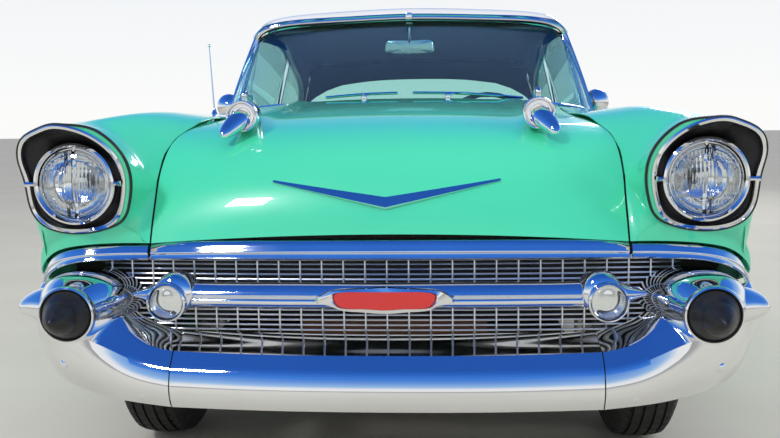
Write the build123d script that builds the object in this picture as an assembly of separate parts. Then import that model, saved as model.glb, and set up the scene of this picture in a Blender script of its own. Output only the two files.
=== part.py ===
from build123d import *
from collections import namedtuple
import os

# A two-door hardtop car of the late 1950s, in millimetres.
# +X is the car's left, -Y is its front, +Z is up, and the ground is at Z = 0.
# Places along the car are measured back from the front-most tips of the bumper.

# Driving sizes
LENGTH = 5080.0
FRONT_AXLE = 838.0
WHEELBASE = 2921.0
TRACK_FRONT = 1473.0
TRACK_REAR = 1494.0
TYRE_RADIUS = 342.0
TYRE_WIDTH = 195.0
RIM_RADIUS = 178.0
RIM_WIDTH = 140.0
SPINDLE_RADIUS = 18.0
ARCH_GAP_FRONT = 56.0
ARCH_GAP_REAR = 36.0
SKIN = 12.0
SHEET = 10.0
PANEL_GAP = 8.0
SEATED = 0.3
SILL_BOTTOM = 255.0
SILL_TOP = 372.0
FLOOR_Z = 350.0
TRUNK_Z = 510.0
RAIL_X = 420.0
RAIL_WIDTH = 80.0
RAIL_HEIGHT = 110.0

# Where the panels part, measured back from the front
POD_JOIN = 330.0
HOOD_REAR = 1430.0
FIREWALL = 1480.0
DOOR_FRONT = 1642.0
DOOR_REAR = 2880.0
SEAT_RISER = 3140.0
CABIN_REAR = 3900.0
TRUNK_FRONT = 3965.0
TRUNK_REAR = 4965.0
TAIL_PLATE = 4885.0

# Half widths of the openings between the body sides
COWL_HALF = 735.0
TRUNK_HALF = 640.0
BELT_HALF = 745.0
REAR_FLOOR_HALF = 598.0

REAR_AXLE = FRONT_AXLE + WHEELBASE
AXLE_Z = TYRE_RADIUS
FENDER_REAR = DOOR_FRONT - PANEL_GAP
DOOR_END = DOOR_REAR - PANEL_GAP
HALF_GAP = PANEL_GAP / 2

# Reach of the cutting prisms, clear of the panels that they cut
LOW = 100.0
FAR = 1200.0
HIGH = 1300.0


def y_of(back):
    return back - LENGTH / 2


# Makers of plain forms
def block(x0, x1, back0, back1, z0, z1):
    size = (abs(x1 - x0), abs(back1 - back0), abs(z1 - z0))
    middle = ((x0 + x1) / 2, y_of((back0 + back1) / 2), (z0 + z1) / 2)
    return Pos(*middle) * Box(*size)


def rod(start, end, radius):
    """A round bar between two places (x, back, z)."""
    a = Vector(start[0], y_of(start[1]), start[2])
    b = Vector(end[0], y_of(end[1]), end[2])
    return Solid.make_cylinder(radius, (b - a).length, Plane(origin=a, z_dir=b - a))


def drum(x, back, z, radius, depth):
    """A round bar along the car, from back to back + depth."""
    return rod((x, back, z), (x, back + depth, z), radius)


def fuse(parts):
    whole = parts[0]
    for part in parts[1:]:
        whole = whole + part
    return whole


def largest(shape):
    return max(shape.solids(), key=lambda solid: solid.volume)


def mirrored(part):
    return mirror(part, about=Plane.YZ)


def pair(part):
    return Compound([part, mirrored(part)])


def side_prism(places, x0, x1):
    """A side-view outline of (back, z) places, extruded across the car."""
    face = make_face(Polyline(*[(y_of(back), z) for back, z in places], close=True))
    plane = Plane(origin=(x0, 0, 0), x_dir=(0, 1, 0), z_dir=(1, 0, 0))
    return extrude(plane * face, x1 - x0)


def plan_prism(places, z0, z1):
    """A plan outline of (x, back) places, extruded upwards."""
    face = make_face(Polyline(*[(x, y_of(back)) for x, back in places], close=True))
    return extrude(Pos(0, 0, z0) * face, z1 - z0)


def front_prism(places, back0, back1):
    """A front-view outline of (x, z) places, extruded along the car."""
    face = make_face(Polyline(*places, close=True))
    plane = Plane(origin=(0, y_of(back0), 0), x_dir=(1, 0, 0), z_dir=(0, -1, 0))
    return extrude(plane * face, back0 - back1)


def turned(profile, x, back, z):
    """A solid of revolution about a line along the car, from (radius, back offset) places."""
    face = make_face(Polyline(*profile, close=True))
    plane = Plane(origin=(x, y_of(back), z), x_dir=(1, 0, 0), z_dir=(0, 0, 1))
    return revolve(plane * face, Axis((x, y_of(back), z), (0, 1, 0)))


def arc(a, b, c):
    return Edge.make_three_point_arc(Vector(*a), Vector(*b), Vector(*c))


def line(a, b):
    return Edge.make_line(Vector(*a), Vector(*b))


def ruled_loft(wires):
    return Solid.make_loft(wires, True)


def polygon(places):
    """A closed wire through places (x, back, z)."""
    return Wire(Polyline(*[(x, y_of(back), z) for x, back, z in places], close=True))


def oval_loft(rows):
    """A solid through ellipses that face along the car."""
    wires = []
    for row in rows:
        plane = Plane(origin=(row.x, y_of(row.back), row.z), x_dir=(1, 0, 0), z_dir=(0, 1, 0))
        wires.append(Wire([Edge.make_ellipse(row.half_x, row.half_z, plane)]))
    return ruled_loft(wires)


def both_ways(rows):
    """Rows that start on the middle line, repeated to the other side of the car."""
    flipped = [row._replace(x=-row.x) for row in reversed(rows) if row.x > 0]
    return flipped + rows


# Body side: from the sill by the widest place to the edge, over the crest to the inner
# shoulder, and straight to the seam with the hood, cowl or deck
Side = namedtuple("Side", "back sill_x side_x side_z edge_x edge_z top_x top_z in_x in_z seam_x seam_z")
SIDES = [
    Side(POD_JOIN, 868, 908, 660, 888, 928, 775, 1012, 690, 975, 597, 845),
    Side(520, 875, 908, 640, 872, 940, 735, 1030, 650, 1010, 563, 970),
    Side(900, 880, 910, 630, 870, 938, 760, 1028, 660, 1022, 540, 1012),
    Side(1500, 882, 910, 620, 872, 925, 810, 1003, 740, 1022, 560, 1042),
    Side(1950, 884, 910, 610, 870, 915, 838, 978, 800, 992, 690, 1000),
    Side(2900, 884, 910, 600, 866, 885, 838, 942, 800, 952, 690, 958),
    Side(3400, 882, 910, 600, 864, 870, 835, 928, 795, 938, 680, 945),
    Side(4000, 876, 908, 610, 862, 900, 838, 962, 800, 955, 660, 950),
    Side(4500, 862, 900, 620, 862, 935, 842, 988, 815, 960, 640, 935),
    Side(4960, 835, 885, 640, 862, 955, 846, 1000, 825, 955, 620, 880),
]
SIDE_CORE = 535.0
CORE_INSET = 35.0
CORE_DROP = 80.0


def side_wire(row, inset, floor, inner_x):
    """Closed cross-section of one body side, its skin moved inwards by inset."""
    y = y_of(row.back)
    inside_x = min(row.seam_x, inner_x)
    sill = (row.sill_x - inset, y, floor)
    widest = (row.side_x - inset, y, row.side_z)
    edge = (row.edge_x - inset, y, row.edge_z - inset * 0.5)
    top = (row.top_x - inset * 0.3, y, row.top_z - inset)
    shoulder = (row.in_x, y, row.in_z - inset)
    seam = (row.seam_x, y, row.seam_z - inset)
    inside = (inside_x, y, row.seam_z - inset)
    foot = (inside_x, y, floor)
    return Wire([
        arc(sill, widest, edge),
        arc(edge, top, shoulder),
        line(shoulder, seam),
        line(seam, inside),
        line(inside, foot),
        line(foot, sill),
    ])


def side_volume(inset, floor, inner_x):
    return ruled_loft([side_wire(row, inset, floor, inner_x) for row in SIDES])


def wheel_hole(back, radius):
    """The wheel's opening in the side: round above the axle and open to the ground."""
    upper = rod((SIDE_CORE - CORE_INSET, back, AXLE_Z), (FAR, back, AXLE_Z), radius)
    lower = block(SIDE_CORE - CORE_INSET, FAR, back - radius, back + radius, 0, AXLE_Z)
    return upper + lower


# Headlamp housing: the peaked outline round the lamp, and the fender's outline at the join.
# Each row is an arc's start and middle; it ends where the next row starts.
LampArc = namedtuple("LampArc", "x z mid_x mid_z join_x join_z join_mid_x join_mid_z")
LAMP_ARCS = [
    LampArc(772, 727, 849, 748, 772, 705, 866, 716),
    LampArc(885, 826, 893, 865, 905, 780, 903, 860),
    LampArc(895, 900, 866, 944, 888, 928, 842, 986),
    LampArc(821, 971, 760, 984, 775, 1012, 733, 1004),
    LampArc(698, 970, 660, 915, 690, 975, 648, 917),
    LampArc(648, 850, 678, 770, 598, 846, 622, 742),
]
LAMP_X = 766.0
LAMP_BACK = 172.0
LAMP_Z = 850.0
LAMP_RADIUS = 84.0
RING_RADIUS = 103.0
BUCKET_RADIUS = 95.0
BUCKET_DEPTH = 110.0
FACE_LOW = (727.0, 200.0)
FACE_HIGH = (971.0, 140.0)
PEAK_RIM = 10.0
RIM_PROUD = 4.0
DISH_FLOOR = 22.0
DISH_ROOM = 3.0
JOIN_LAP = 14.0


def lamp_face(z):
    """How far back the housing's leaning front face lies at a height."""
    share = (z - FACE_LOW[0]) / (FACE_HIGH[0] - FACE_LOW[0])
    return FACE_LOW[1] + share * (FACE_HIGH[1] - FACE_LOW[1])


def lamp_wire(inset, forward):
    """The peaked outline, moved towards the lamp by inset and ahead of the face by forward."""
    places = []
    for row in LAMP_ARCS:
        for x, z in ((row.x, row.z), (row.mid_x, row.mid_z)):
            away = Vector(x - LAMP_X, 0, z - LAMP_Z)
            moved = away * (1 - inset / away.length)
            height = LAMP_Z + moved.Z
            places.append((LAMP_X + moved.X, y_of(lamp_face(height) - forward), height))
    return arc_ring(places)


def arc_ring(places):
    """A closed wire of arcs, from a list whose every second place is an arc's middle."""
    count = len(places)
    return Wire([arc(places[k], places[k + 1], places[(k + 2) % count]) for k in range(0, count, 2)])


def lamp_circle(radius, back):
    """A circle cut into arcs that face the arcs of the peaked outline."""
    places = []
    for row in LAMP_ARCS:
        for x, z in ((row.x, row.z), (row.mid_x, row.mid_z)):
            away = Vector(x - LAMP_X, 0, z - LAMP_Z).normalized() * radius
            places.append((LAMP_X + away.X, y_of(back), LAMP_Z + away.Z))
    return arc_ring(places)


def lamp_pod():
    """The housing from its peaked face to the fender, with the dish and the bucket's hole."""
    join = []
    for row in LAMP_ARCS:
        join.append((row.join_x, y_of(POD_JOIN + JOIN_LAP), row.join_z))
        join.append((row.join_mid_x, y_of(POD_JOIN + JOIN_LAP), row.join_mid_z))
    pod = ruled_loft([lamp_wire(0, 0), arc_ring(join)])
    dish_floor = lamp_circle(RING_RADIUS + DISH_ROOM, LAMP_BACK + DISH_FLOOR)
    dish = ruled_loft([lamp_wire(PEAK_RIM, RIM_PROUD), dish_floor])
    hole = drum(LAMP_X, LAMP_BACK, LAMP_Z, BUCKET_RADIUS + SEATED, BUCKET_DEPTH + JOIN_LAP * 4)
    return pod - dish - hole


# Hood: profiles back from the lip, each of two arcs, at places across the car
Profile = namedtuple("Profile", "x a_back a_z b_back b_z c_back c_z d_back d_z e_back e_z")
HOODS = both_ways([
    Profile(0, 206, 718, 290, 890, 480, 990, 900, 1042, HOOD_REAR, 1076),
    Profile(300, 222, 712, 300, 880, 485, 984, 900, 1034, HOOD_REAR, 1066),
    Profile(480, 234, 704, 318, 862, 487, 975, 900, 1020, HOOD_REAR, 1052),
    Profile(606, 242, 690, 335, 843, 490, 958, 900, 1003, HOOD_REAR, 1038),
])
TRUNKS = both_ways([
    Profile(0, TRUNK_FRONT, 992, 4400, 985, 4790, 938, 4945, 820, TRUNK_REAR, 620),
    Profile(630, TRUNK_FRONT, 950, 4400, 946, 4760, 905, 4920, 800, TRUNK_REAR - 25, 620),
])
# The hood's edge in plan: (x, back)
HOOD_SEAM = [(605, 150), (605, 240), (597, 330), (565, 480), (535, 700), (545, 1000), (575, HOOD_REAR)]
SEAM_LOW = 500.0
HOOD_HINGE_X = (430.0, 470.0)
TRUNK_HINGE_X = (400.0, 440.0)
HOOD_HINGE_Z = (1000.0, 1042.0)
TRUNK_HINGE_Z = (940.0, 956.0)
HINGE_LAP = 25.0


def hood_band(row, thick, forward=0.0):
    """The closed band behind a steep-nosed profile, the whole of it moved forward."""
    x, shift = row.x, -forward
    a = (x, y_of(row.a_back + shift), row.a_z)
    b = (x, y_of(row.b_back + shift), row.b_z)
    c = (x, y_of(row.c_back + shift), row.c_z)
    d = (x, y_of(row.d_back), row.d_z)
    e = (x, y_of(row.e_back), row.e_z)
    a2 = (x, a[1] + thick, a[2])
    b2 = (x, b[1] + thick * 0.8, b[2] - thick * 0.5)
    c2, d2, e2 = ((x, y, z - thick) for _, y, z in (c, d, e))
    return Wire([arc(a, b, c), arc(c, d, e), line(e, e2), arc(e2, d2, c2), arc(c2, b2, a2), line(a2, a)])


def trunk_band(row, thick):
    """The closed band under a steep-tailed profile."""
    x = row.x
    a, b = (x, y_of(row.a_back), row.a_z), (x, y_of(row.b_back), row.b_z)
    c, d = (x, y_of(row.c_back), row.c_z), (x, y_of(row.d_back), row.d_z)
    e = (x, y_of(row.e_back), row.e_z)
    a2, b2 = ((x, y, z - thick) for _, y, z in (a, b))
    c2 = (x, c[1] - thick * 0.3, c[2] - thick)
    d2 = (x, d[1] - thick, d[2] - thick * 0.3)
    e2 = (x, e[1] - thick, e[2])
    return Wire([arc(a, b, c), arc(c, d, e), line(e, e2), arc(e2, d2, c2), arc(c2, b2, a2), line(a2, a)])


def make_hood():
    hood = ruled_loft([hood_band(row, SKIN) for row in HOODS])
    plan = HOOD_SEAM + [(-x, back) for x, back in reversed(HOOD_SEAM)]
    hood = hood & plan_prism(plan, SEAM_LOW, HIGH)
    reach = (HOOD_REAR - HINGE_LAP, HOOD_REAR + PANEL_GAP - SEATED)
    hinge = block(*HOOD_HINGE_X, *reach, *HOOD_HINGE_Z)
    return fuse([hood, hinge, mirrored(hinge)])


def make_trunk_lid():
    lid = ruled_loft([trunk_band(row, SKIN) for row in TRUNKS])
    reach = (TRUNK_FRONT - HALF_GAP + SEATED, TRUNK_FRONT + HINGE_LAP)
    hinge = block(*TRUNK_HINGE_X, *reach, *TRUNK_HINGE_Z)
    return fuse([lid, hinge, mirrored(hinge)])


# Front fender, in front of the door
NOSE_PLATE = [(610, 440), (888, 440), (902, 706), (650, 706), (612, 690)]
NOSE_BACK = (300.0, 344.0)
NOSE_THICK = 18.0
VALANCE_Z = 420.0


def make_fender(skin):
    fender = skin & block(LOW, FAR, POD_JOIN, FENDER_REAR, LOW, HIGH)
    fender = fender - wheel_hole(FRONT_AXLE, TYRE_RADIUS + ARCH_GAP_FRONT)
    ahead = FRONT_AXLE - TYRE_RADIUS - ARCH_GAP_FRONT
    fender = fender - block(SIDE_CORE, FAR, 0, ahead, SILL_BOTTOM - 50, VALANCE_Z)
    plate = front_prism(NOSE_PLATE, NOSE_BACK[0], NOSE_BACK[0] + NOSE_THICK)
    return_flange = block(NOSE_PLATE[1][0] - SKIN, NOSE_PLATE[1][0] - 1, *NOSE_BACK, NOSE_PLATE[0][1], 700)
    fender = fender + lamp_pod() + plate + return_flange
    hood_side = [(x + PANEL_GAP, back) for x, back in HOOD_SEAM]
    behind = HOOD_REAR + 270
    fender = fender - plan_prism(hood_side + [(583, behind), (0, behind), (0, 150)], 100, FAR)
    fender = fender - block(0, COWL_HALF + HALF_GAP, HOOD_REAR - HALF_GAP, behind, SEAM_LOW, FAR)
    return largest(fender)


# Rear body: quarters with fins, sills, door posts, deck surround and tail panel
TAIL_CUT = [(4985, 1100), (4975, 990), (4920, 800), (4905, 640), (4850, 240), (5400, 240), (5400, 1100)]
TAIL_PANEL = [(645, 420), (850, 420), (855, 940), (838, 985), (800, 930), (650, 900)]
TAIL_THICK = 15.0
SILL_IN, SILL_STEP, SILL_OUT = 800.0, 845.0, 880.0
POST_X = (785.0, 850.0)
POST_TOP = 905.0
HINGE_POST_DEPTH = 70.0
HINGE_POST_TOP = 945.0
BELT_BAR_Z = (945.0, 985.0)


def make_quarter(skin):
    quarter = skin & block(LOW, FAR, DOOR_REAR, LENGTH, LOW, HIGH)
    quarter = quarter - side_prism(TAIL_CUT, 0, FAR)
    quarter = quarter - wheel_hole(REAR_AXLE, TYRE_RADIUS + ARCH_GAP_REAR)
    deck_front, deck_half = TRUNK_FRONT - HALF_GAP, TRUNK_HALF + HALF_GAP
    quarter = quarter - plan_prism([(0, deck_front), (deck_half, deck_front), (deck_half, 5200), (0, 5200)],
                                   SEAM_LOW, HIGH)
    cabin = [(0, DOOR_REAR - 10), (BELT_HALF, DOOR_REAR - 10), (BELT_HALF, 3600), (600, CABIN_REAR),
             (0, CABIN_REAR)]
    quarter = quarter - plan_prism(cabin, 400, HIGH)
    post_front = FENDER_REAR - HINGE_POST_DEPTH - HALF_GAP
    post_rear = FENDER_REAR - HALF_GAP
    inner_sill = block(SILL_IN, SILL_STEP, post_front, DOOR_REAR + 5, SILL_BOTTOM, SILL_TOP)
    outer_sill = block(SILL_STEP, SILL_OUT, FENDER_REAR + 2, DOOR_REAR + 5, SILL_BOTTOM, SILL_TOP)
    lock_post = block(*POST_X, DOOR_REAR + 1, DOOR_REAR + 60, SILL_BOTTOM, POST_TOP)
    hinge_post = block(COWL_HALF + 5, SILL_STEP, post_front, post_rear, SILL_BOTTOM, HINGE_POST_TOP)
    belt_bar = block(COWL_HALF, COWL_HALF + 39, HOOD_REAR + PANEL_GAP, 1952, *BELT_BAR_Z)
    fender_bolt = block(SILL_STEP, SILL_OUT + 17.5, FENDER_REAR - 60, FENDER_REAR - 20, 600, 620)
    tail = front_prism(TAIL_PANEL, TAIL_PLATE, TAIL_PLATE + TAIL_THICK)
    return fuse([quarter, fender_bolt, inner_sill, outer_sill, lock_post, hinge_post, belt_bar, tail])


# Cowl and deck panels: (back, z at the ends, z in the middle)
COWL_ROWS = ((HOOD_REAR + PANEL_GAP, 1010, 1074), (1500, 1012, 1066))
DECK_ROWS = ((CABIN_REAR - 15.7, 949, 990), (TRUNK_FRONT - HALF_GAP, 949, 991))


def crowned_panel(rows, half, depth):
    """A panel with an arched top and a flat underside."""
    wires = []
    for back, z_side, z_top in rows:
        y = y_of(back)
        low = z_side - depth
        wires.append(Wire([
            arc((-half, y, z_side), (0, y, z_top), (half, y, z_side)),
            line((half, y, z_side), (half, y, low)),
            line((half, y, low), (-half, y, low)),
            line((-half, y, low), (-half, y, z_side)),
        ]))
    return ruled_loft(wires)


# Door: the whole thickness of the side between its cuts
DOOR_INSIDE = 780.0
HINGE_LOWS = (420.0, 770.0)
HINGE_HEIGHT = 60.0


def make_door(outer):
    low = SILL_TOP + PANEL_GAP
    door = outer & block(DOOR_INSIDE, FAR, DOOR_FRONT, DOOR_END, low, HIGH)
    lock_edge = [(700, DOOR_REAR - 22), (DOOR_INSIDE, DOOR_REAR - 22), (910, DOOR_END + 1),
                 (910, DOOR_REAR + 20), (700, DOOR_REAR + 20)]
    door = door - plan_prism(lock_edge, 200, FAR)
    for z in HINGE_LOWS:
        door = door + block(SILL_IN, SILL_STEP - 5, FENDER_REAR - HALF_GAP + SEATED, DOOR_FRONT + 10,
                            z, z + HINGE_HEIGHT)
    return door


# Roof: the drip edge, the shoulder and the height in the middle at places along the car
Crown = namedtuple("Crown", "back edge_x edge_z shoulder_x shoulder_z top_z")
CROWNS = [
    Crown(2018, 684, 1366, 600, 1424, 1450),
    Crown(2180, 689, 1372, 608, 1448, 1486),
    Crown(2500, 690, 1376, 610, 1456, 1492),
    Crown(2850, 688, 1370, 606, 1444, 1480),
    Crown(3200, 680, 1342, 596, 1406, 1438),
    Crown(3480, 668, 1300, 580, 1350, 1378),
]
ROOF_THICK = 32.0
KNEE_OUT = 50.0
KNEE_UP = 22.0


def crown_band(row):
    """Closed section of the roof at one place: three arcs above and three below."""
    y, t = y_of(row.back), ROOF_THICK
    edge = (row.edge_x, y, row.edge_z)
    shoulder = (row.shoulder_x, y, row.shoulder_z)
    knee = (row.shoulder_x + KNEE_OUT, y, (row.edge_z + row.shoulder_z) / 2 + KNEE_UP)
    edge_in = (edge[0] - t, y, edge[2])
    knee_in = (knee[0] - t * 0.8, y, knee[2] - t * 0.6)
    shoulder_in = (shoulder[0] - t * 0.5, y, shoulder[2] - t)

    def flip(place):
        return (-place[0], place[1], place[2])
    return Wire([
        arc(edge, knee, shoulder),
        arc(shoulder, (0, y, row.top_z), flip(shoulder)),
        arc(flip(shoulder), flip(knee), flip(edge)),
        line(flip(edge), flip(edge_in)),
        arc(flip(edge_in), flip(knee_in), flip(shoulder_in)),
        arc(flip(shoulder_in), (0, y, row.top_z - t), shoulder_in),
        arc(shoulder_in, knee_in, edge_in),
        line(edge_in, edge),
    ])


FRONT_POST = [
    [(738, 1902, 985), (772, 1902, 985), (772, 1948, 985), (738, 1948, 985)],
    [(650, 2022, 1380), (684, 2022, 1380), (684, 2068, 1380), (650, 2068, 1380)],
]
# The rear quarters of the roof: a leaning slab, cut behind the curved end of the side windows
REAR_QUARTER = [
    [(790, 2600, 900), (790, 3704, 900), (760, 3704, 900), (760, 2600, 900)],
    [(681, 2600, 1372), (670, 3478, 1318), (640, 3478, 1318), (651, 2600, 1372)],
]
WINDOW_END = [
    (2600, 1400), (2600, 1372), (2760, 1345), (2900, 1304), (3050, 1244), (3180, 1164),
    (3270, 1070), (3325, 970), (3340, 880),
]
WINDOW_ROOM = 10.0


def make_roof(outer):
    roof = ruled_loft([crown_band(row) for row in CROWNS])
    front_post = ruled_loft([polygon(places) for places in FRONT_POST])
    rear_quarter = ruled_loft([polygon(places) for places in REAR_QUARTER]) - outer
    rear_quarter = rear_quarter & side_prism(behind_windows(0), SIDE_CORE, FAR)
    return fuse([roof, front_post, mirrored(front_post), rear_quarter, mirrored(rear_quarter)])


def behind_windows(room):
    """The side-view region behind the windows' curved end, moved forward by room."""
    return [(back - room, z - room) for back, z in WINDOW_END] + [(3800, 880 - room), (3800, 1400)]


# Curved glass: side (x, back, z), corner (x, back), middle (back, z) at the base and at the top
GlassEdge = namedtuple("GlassEdge", "side_x side_back side_z corner_x corner_back mid_back mid_z")
WINDSHIELD = (
    GlassEdge(770, 1880, 1000, 560, 1568, 1502, 1062),
    GlassEdge(662, 2016, 1362, 470, 2022, 2046, 1412),
)
REAR_GLASS = (
    GlassEdge(745, 3706, 947.8, 560, 3830, 3884, 985),
    GlassEdge(632, 3478, 1290, 440, 3486, 3500, 1342),
)
GLASS_THICK = 8.0
SIDE_GLASS_THICK = 6.0


def glass_wire(row):
    """A thin closed section of wrapped glass, all of it in one leaning plane."""
    t = GLASS_THICK
    turn = 1 if row.side_back > row.mid_back else -1
    bow_back = (row.side_back + row.corner_back) / 2 - turn * 0.22 * abs(row.side_back - row.corner_back)
    bow_x = (row.side_x + row.corner_x) / 2 + 0.2 * (row.side_x - row.corner_x)

    def at(x, back):
        share = (back - row.mid_back) / (row.side_back - row.mid_back)
        return (x, y_of(back), row.mid_z + (row.side_z - row.mid_z) * share)

    def flip(place):
        return (-place[0], place[1], place[2])
    side, bow = at(row.side_x, row.side_back), at(bow_x, bow_back)
    corner, middle = at(row.corner_x, row.corner_back), at(0, row.mid_back)
    side_in = at(row.side_x - t, row.side_back)
    bow_in = at(bow_x - t * 0.8, bow_back + turn * t * 0.6)
    corner_in = at(row.corner_x - t * 0.4, row.corner_back + turn * t)
    middle_in = at(0, row.mid_back + turn * t)
    return Wire([
        arc(side, bow, corner),
        arc(corner, middle, flip(corner)),
        arc(flip(corner), flip(bow), flip(side)),
        line(flip(side), flip(side_in)),
        arc(flip(side_in), flip(bow_in), flip(corner_in)),
        arc(flip(corner_in), middle_in, corner_in),
        arc(corner_in, bow_in, side_in),
        line(side_in, side),
    ])


def side_glass(low, high):
    """A pane from its two places (x, back, z) at the belt to its two places at the roof."""
    wires = []
    for first, last in (low, high):
        inner = [(x - SIDE_GLASS_THICK, back, z) for x, back, z in (last, first)]
        wires.append(polygon([first, last] + inner))
    return ruled_loft(wires)


DOOR_GLASS = (((800, 1962, 940), (800, 2858, 940)), ((676, 2078, 1360), (676, 2858, 1360)))
QUARTER_GLASS = (((790, 2886, 930), (790, 3410, 930)), ((676, 2886, 1370), (676, 3212, 1370)))

# Bumpers: the outline of the channel at each x, from the shelf round the face to the lower lip
Channel = namedtuple("Channel", "x shelf step brow face belly low lip")
FRONT_CHANNEL = both_ways([
    Channel(0, (222, 466), (112, 438), (78, 404), (64, 352), (80, 308), (100, 303), (124, 302)),
    Channel(300, (224, 467), (118, 439), (84, 405), (70, 353), (86, 309), (106, 304), (130, 303)),
    Channel(524, (230, 470), (134, 443), (98, 408), (85, 355), (102, 311), (120, 307), (142, 306)),
    Channel(680, (240, 540), (165, 505), (116, 452), (108, 384), (140, 320), (160, 317), (180, 316)),
    Channel(815, (250, 575), (175, 542), (146, 496), (156, 408), (204, 338), (222, 337), (242, 337)),
    Channel(905, (285, 566), (235, 552), (216, 524), (224, 462), (258, 405), (275, 403), (292, 402)),
    Channel(930, (372, 556), (352, 546), (346, 530), (348, 486), (356, 440), (364, 435), (372, 432)),
])
REAR_CHANNEL = both_ways([
    Channel(0, (4985, 560), (5040, 552), (5062, 505), (5070, 440), (5055, 366), (5030, 338), (5000, 334)),
    Channel(500, (4975, 560), (5030, 552), (5052, 505), (5060, 440), (5045, 366), (5020, 338), (4990, 334)),
    Channel(760, (4930, 600), (4985, 592), (5010, 530), (5018, 450), (5000, 370), (4975, 344), (4950, 340)),
    Channel(892, (4915, 620), (4935, 612), (4950, 545), (4955, 460), (4945, 385), (4932, 368), (4920, 362)),
    Channel(930, (4790, 618), (4793, 610), (4796, 545), (4797, 460), (4795, 396), (4793, 384), (4790, 376)),
])
CHANNEL_THICK = 7.0
CHANNEL_OPEN = 90.0


def channel(rows, away):
    """A pressed bumper bar, open at the back; away is +1 where the car lies behind the bar."""
    outer, inner = [], []
    t = CHANNEL_THICK
    end = rows[-1].x
    for row in rows:
        places = [(row.x, back, z) for back, z in row[1:]]
        outer.append(polygon(places))
        x = row.x * (1 - t / end)
        low = places[-1][2]
        high = places[0][2]
        hollow = [(x, back + away * t, min(max(z, low + t), high - t)) for _, back, z in places]
        hollow[0] = (x, places[0][1] + away * CHANNEL_OPEN, high - t)
        hollow[1] = (x, places[1][1] + away * t, places[1][2] - t)
        hollow[-1] = (x, places[-1][1] + away * CHANNEL_OPEN, low + t)
        inner.append(polygon(hollow))
    return ruled_loft(outer) - ruled_loft(inner)


# Bumper pods behind the bullets: ellipses along the car
Oval = namedtuple("Oval", "back x z half_x half_z")
PODS = [
    Oval(100, 775, 541, 66, 66), Oval(112, 775, 542, 71, 71), Oval(165, 774, 549, 100, 82),
    Oval(230, 768, 555, 122, 80), Oval(NOSE_BACK[0] - SEATED, 762, 556, 128, 70),
]
WING_FRONT = [(835, 118), (880, 140), (937, 180), (937, 205), (880, 250), (835, 250)]
WING_OUTLINE = [(835, 497), (835, 597), (900, 575), (937, 549), (937, 535), (900, 512)]
BULLET_X = 775.0
BULLET_Z = 541.0
BULLET_BASE = 100.0 - SEATED
BULLET_PROFILE = [
    (0, -BULLET_BASE), (10, -96), (24, -82), (35, -60), (40, -42), (41, -34), (52, -16), (60, 0), (0, 0),
]
ARM_RADIUS = 22.0
ARM_Z = (370.0, 390.0)
RAIL_FRONT, RAIL_REAR = 330.0, 4850.0
PLATE_HOLE_SPACING = 177.8
PLATE_HOLE_RADIUS = 3.5
PLATE_PAD_BACK = 5045.0
PLATE_PAD_Z = (400.0, 540.0)
PLATE_Z = 500.0


def make_front_bumper():
    bar = channel(FRONT_CHANNEL, 1)
    pod = oval_loft(PODS)
    wing = plan_prism(WING_FRONT, 450, 650) & front_prism(WING_OUTLINE, 100, 300)
    leg = block(700, 850, 190, 262, 450, 540)
    arm = rod((RAIL_X, 95, ARM_Z[0]), (RAIL_X, RAIL_FRONT - SEATED, ARM_Z[0]), ARM_RADIUS)
    side = fuse([pod, wing, leg])
    return fuse([bar, side, mirrored(side), arm, mirrored(arm)])


def make_bullet():
    return turned(BULLET_PROFILE, BULLET_X, BULLET_BASE, BULLET_Z)


def make_rear_bumper():
    bar = channel(REAR_CHANNEL, -1)
    bar = bar + block(-RAIL_X, RAIL_X, PLATE_PAD_BACK, LENGTH, *PLATE_PAD_Z)
    arm = rod((RAIL_X, 5050, ARM_Z[1]), (RAIL_X, RAIL_REAR + SEATED, ARM_Z[1]), ARM_RADIUS)
    hole = drum(PLATE_HOLE_SPACING / 2, PLATE_PAD_BACK - 100, PLATE_Z, PLATE_HOLE_RADIUS, 200)
    return fuse([bar, arm, mirrored(arm)]) - hole - mirrored(hole)


TAIL_LAMP = [
    Oval(TAIL_PLATE + TAIL_THICK + SEATED, 824, 690, 28, 74), Oval(4935, 824, 688, 27, 70),
    Oval(4962, 824, 684, 19, 52), Oval(4974, 824, 682, 8, 26),
]

# Grille: round the middle line, horizontal wires and uprights in a frame
GRILLE_BACK = 256.0
GRILLE_DEPTH = 10.0
GRILLE_HALF = 600.0
GRILLE_Z = (455.0, 652.0)
WIRE = 5.0
ROW_PITCH = 26.4
UPRIGHT_PITCH = 107.2
EAR_REACH = 12.0
EAR_Z = (560.0, 582.0)


def make_grille():
    low, high = GRILLE_Z
    rows = int((high - low) / ROW_PITCH)
    uprights = int(GRILLE_HALF / UPRIGHT_PITCH)
    depth = (GRILLE_BACK, GRILLE_BACK + GRILLE_DEPTH)
    bars = []
    for step in range(1, rows + 1):
        z = low + step * ROW_PITCH
        bars.append(block(-GRILLE_HALF, GRILLE_HALF, *depth, z, z + WIRE))
    for step in range(-uprights, uprights + 1):
        x = step * UPRIGHT_PITCH
        bars.append(block(x - WIRE / 2, x + WIRE / 2, *depth, low, high))
    for z in (low, high - SHEET):
        bars.append(block(-GRILLE_HALF - WIRE, GRILLE_HALF + WIRE, *depth, z, z + SHEET))
    for side in (-1, 1):
        bars.append(block(side * GRILLE_HALF, side * (GRILLE_HALF + WIRE), *depth, low, high))
        bars.append(block(side * GRILLE_HALF, side * (NOSE_PLATE[0][0] + EAR_REACH), GRILLE_BACK,
                          NOSE_BACK[0] - SEATED, *EAR_Z))
    return fuse(bars)


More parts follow.
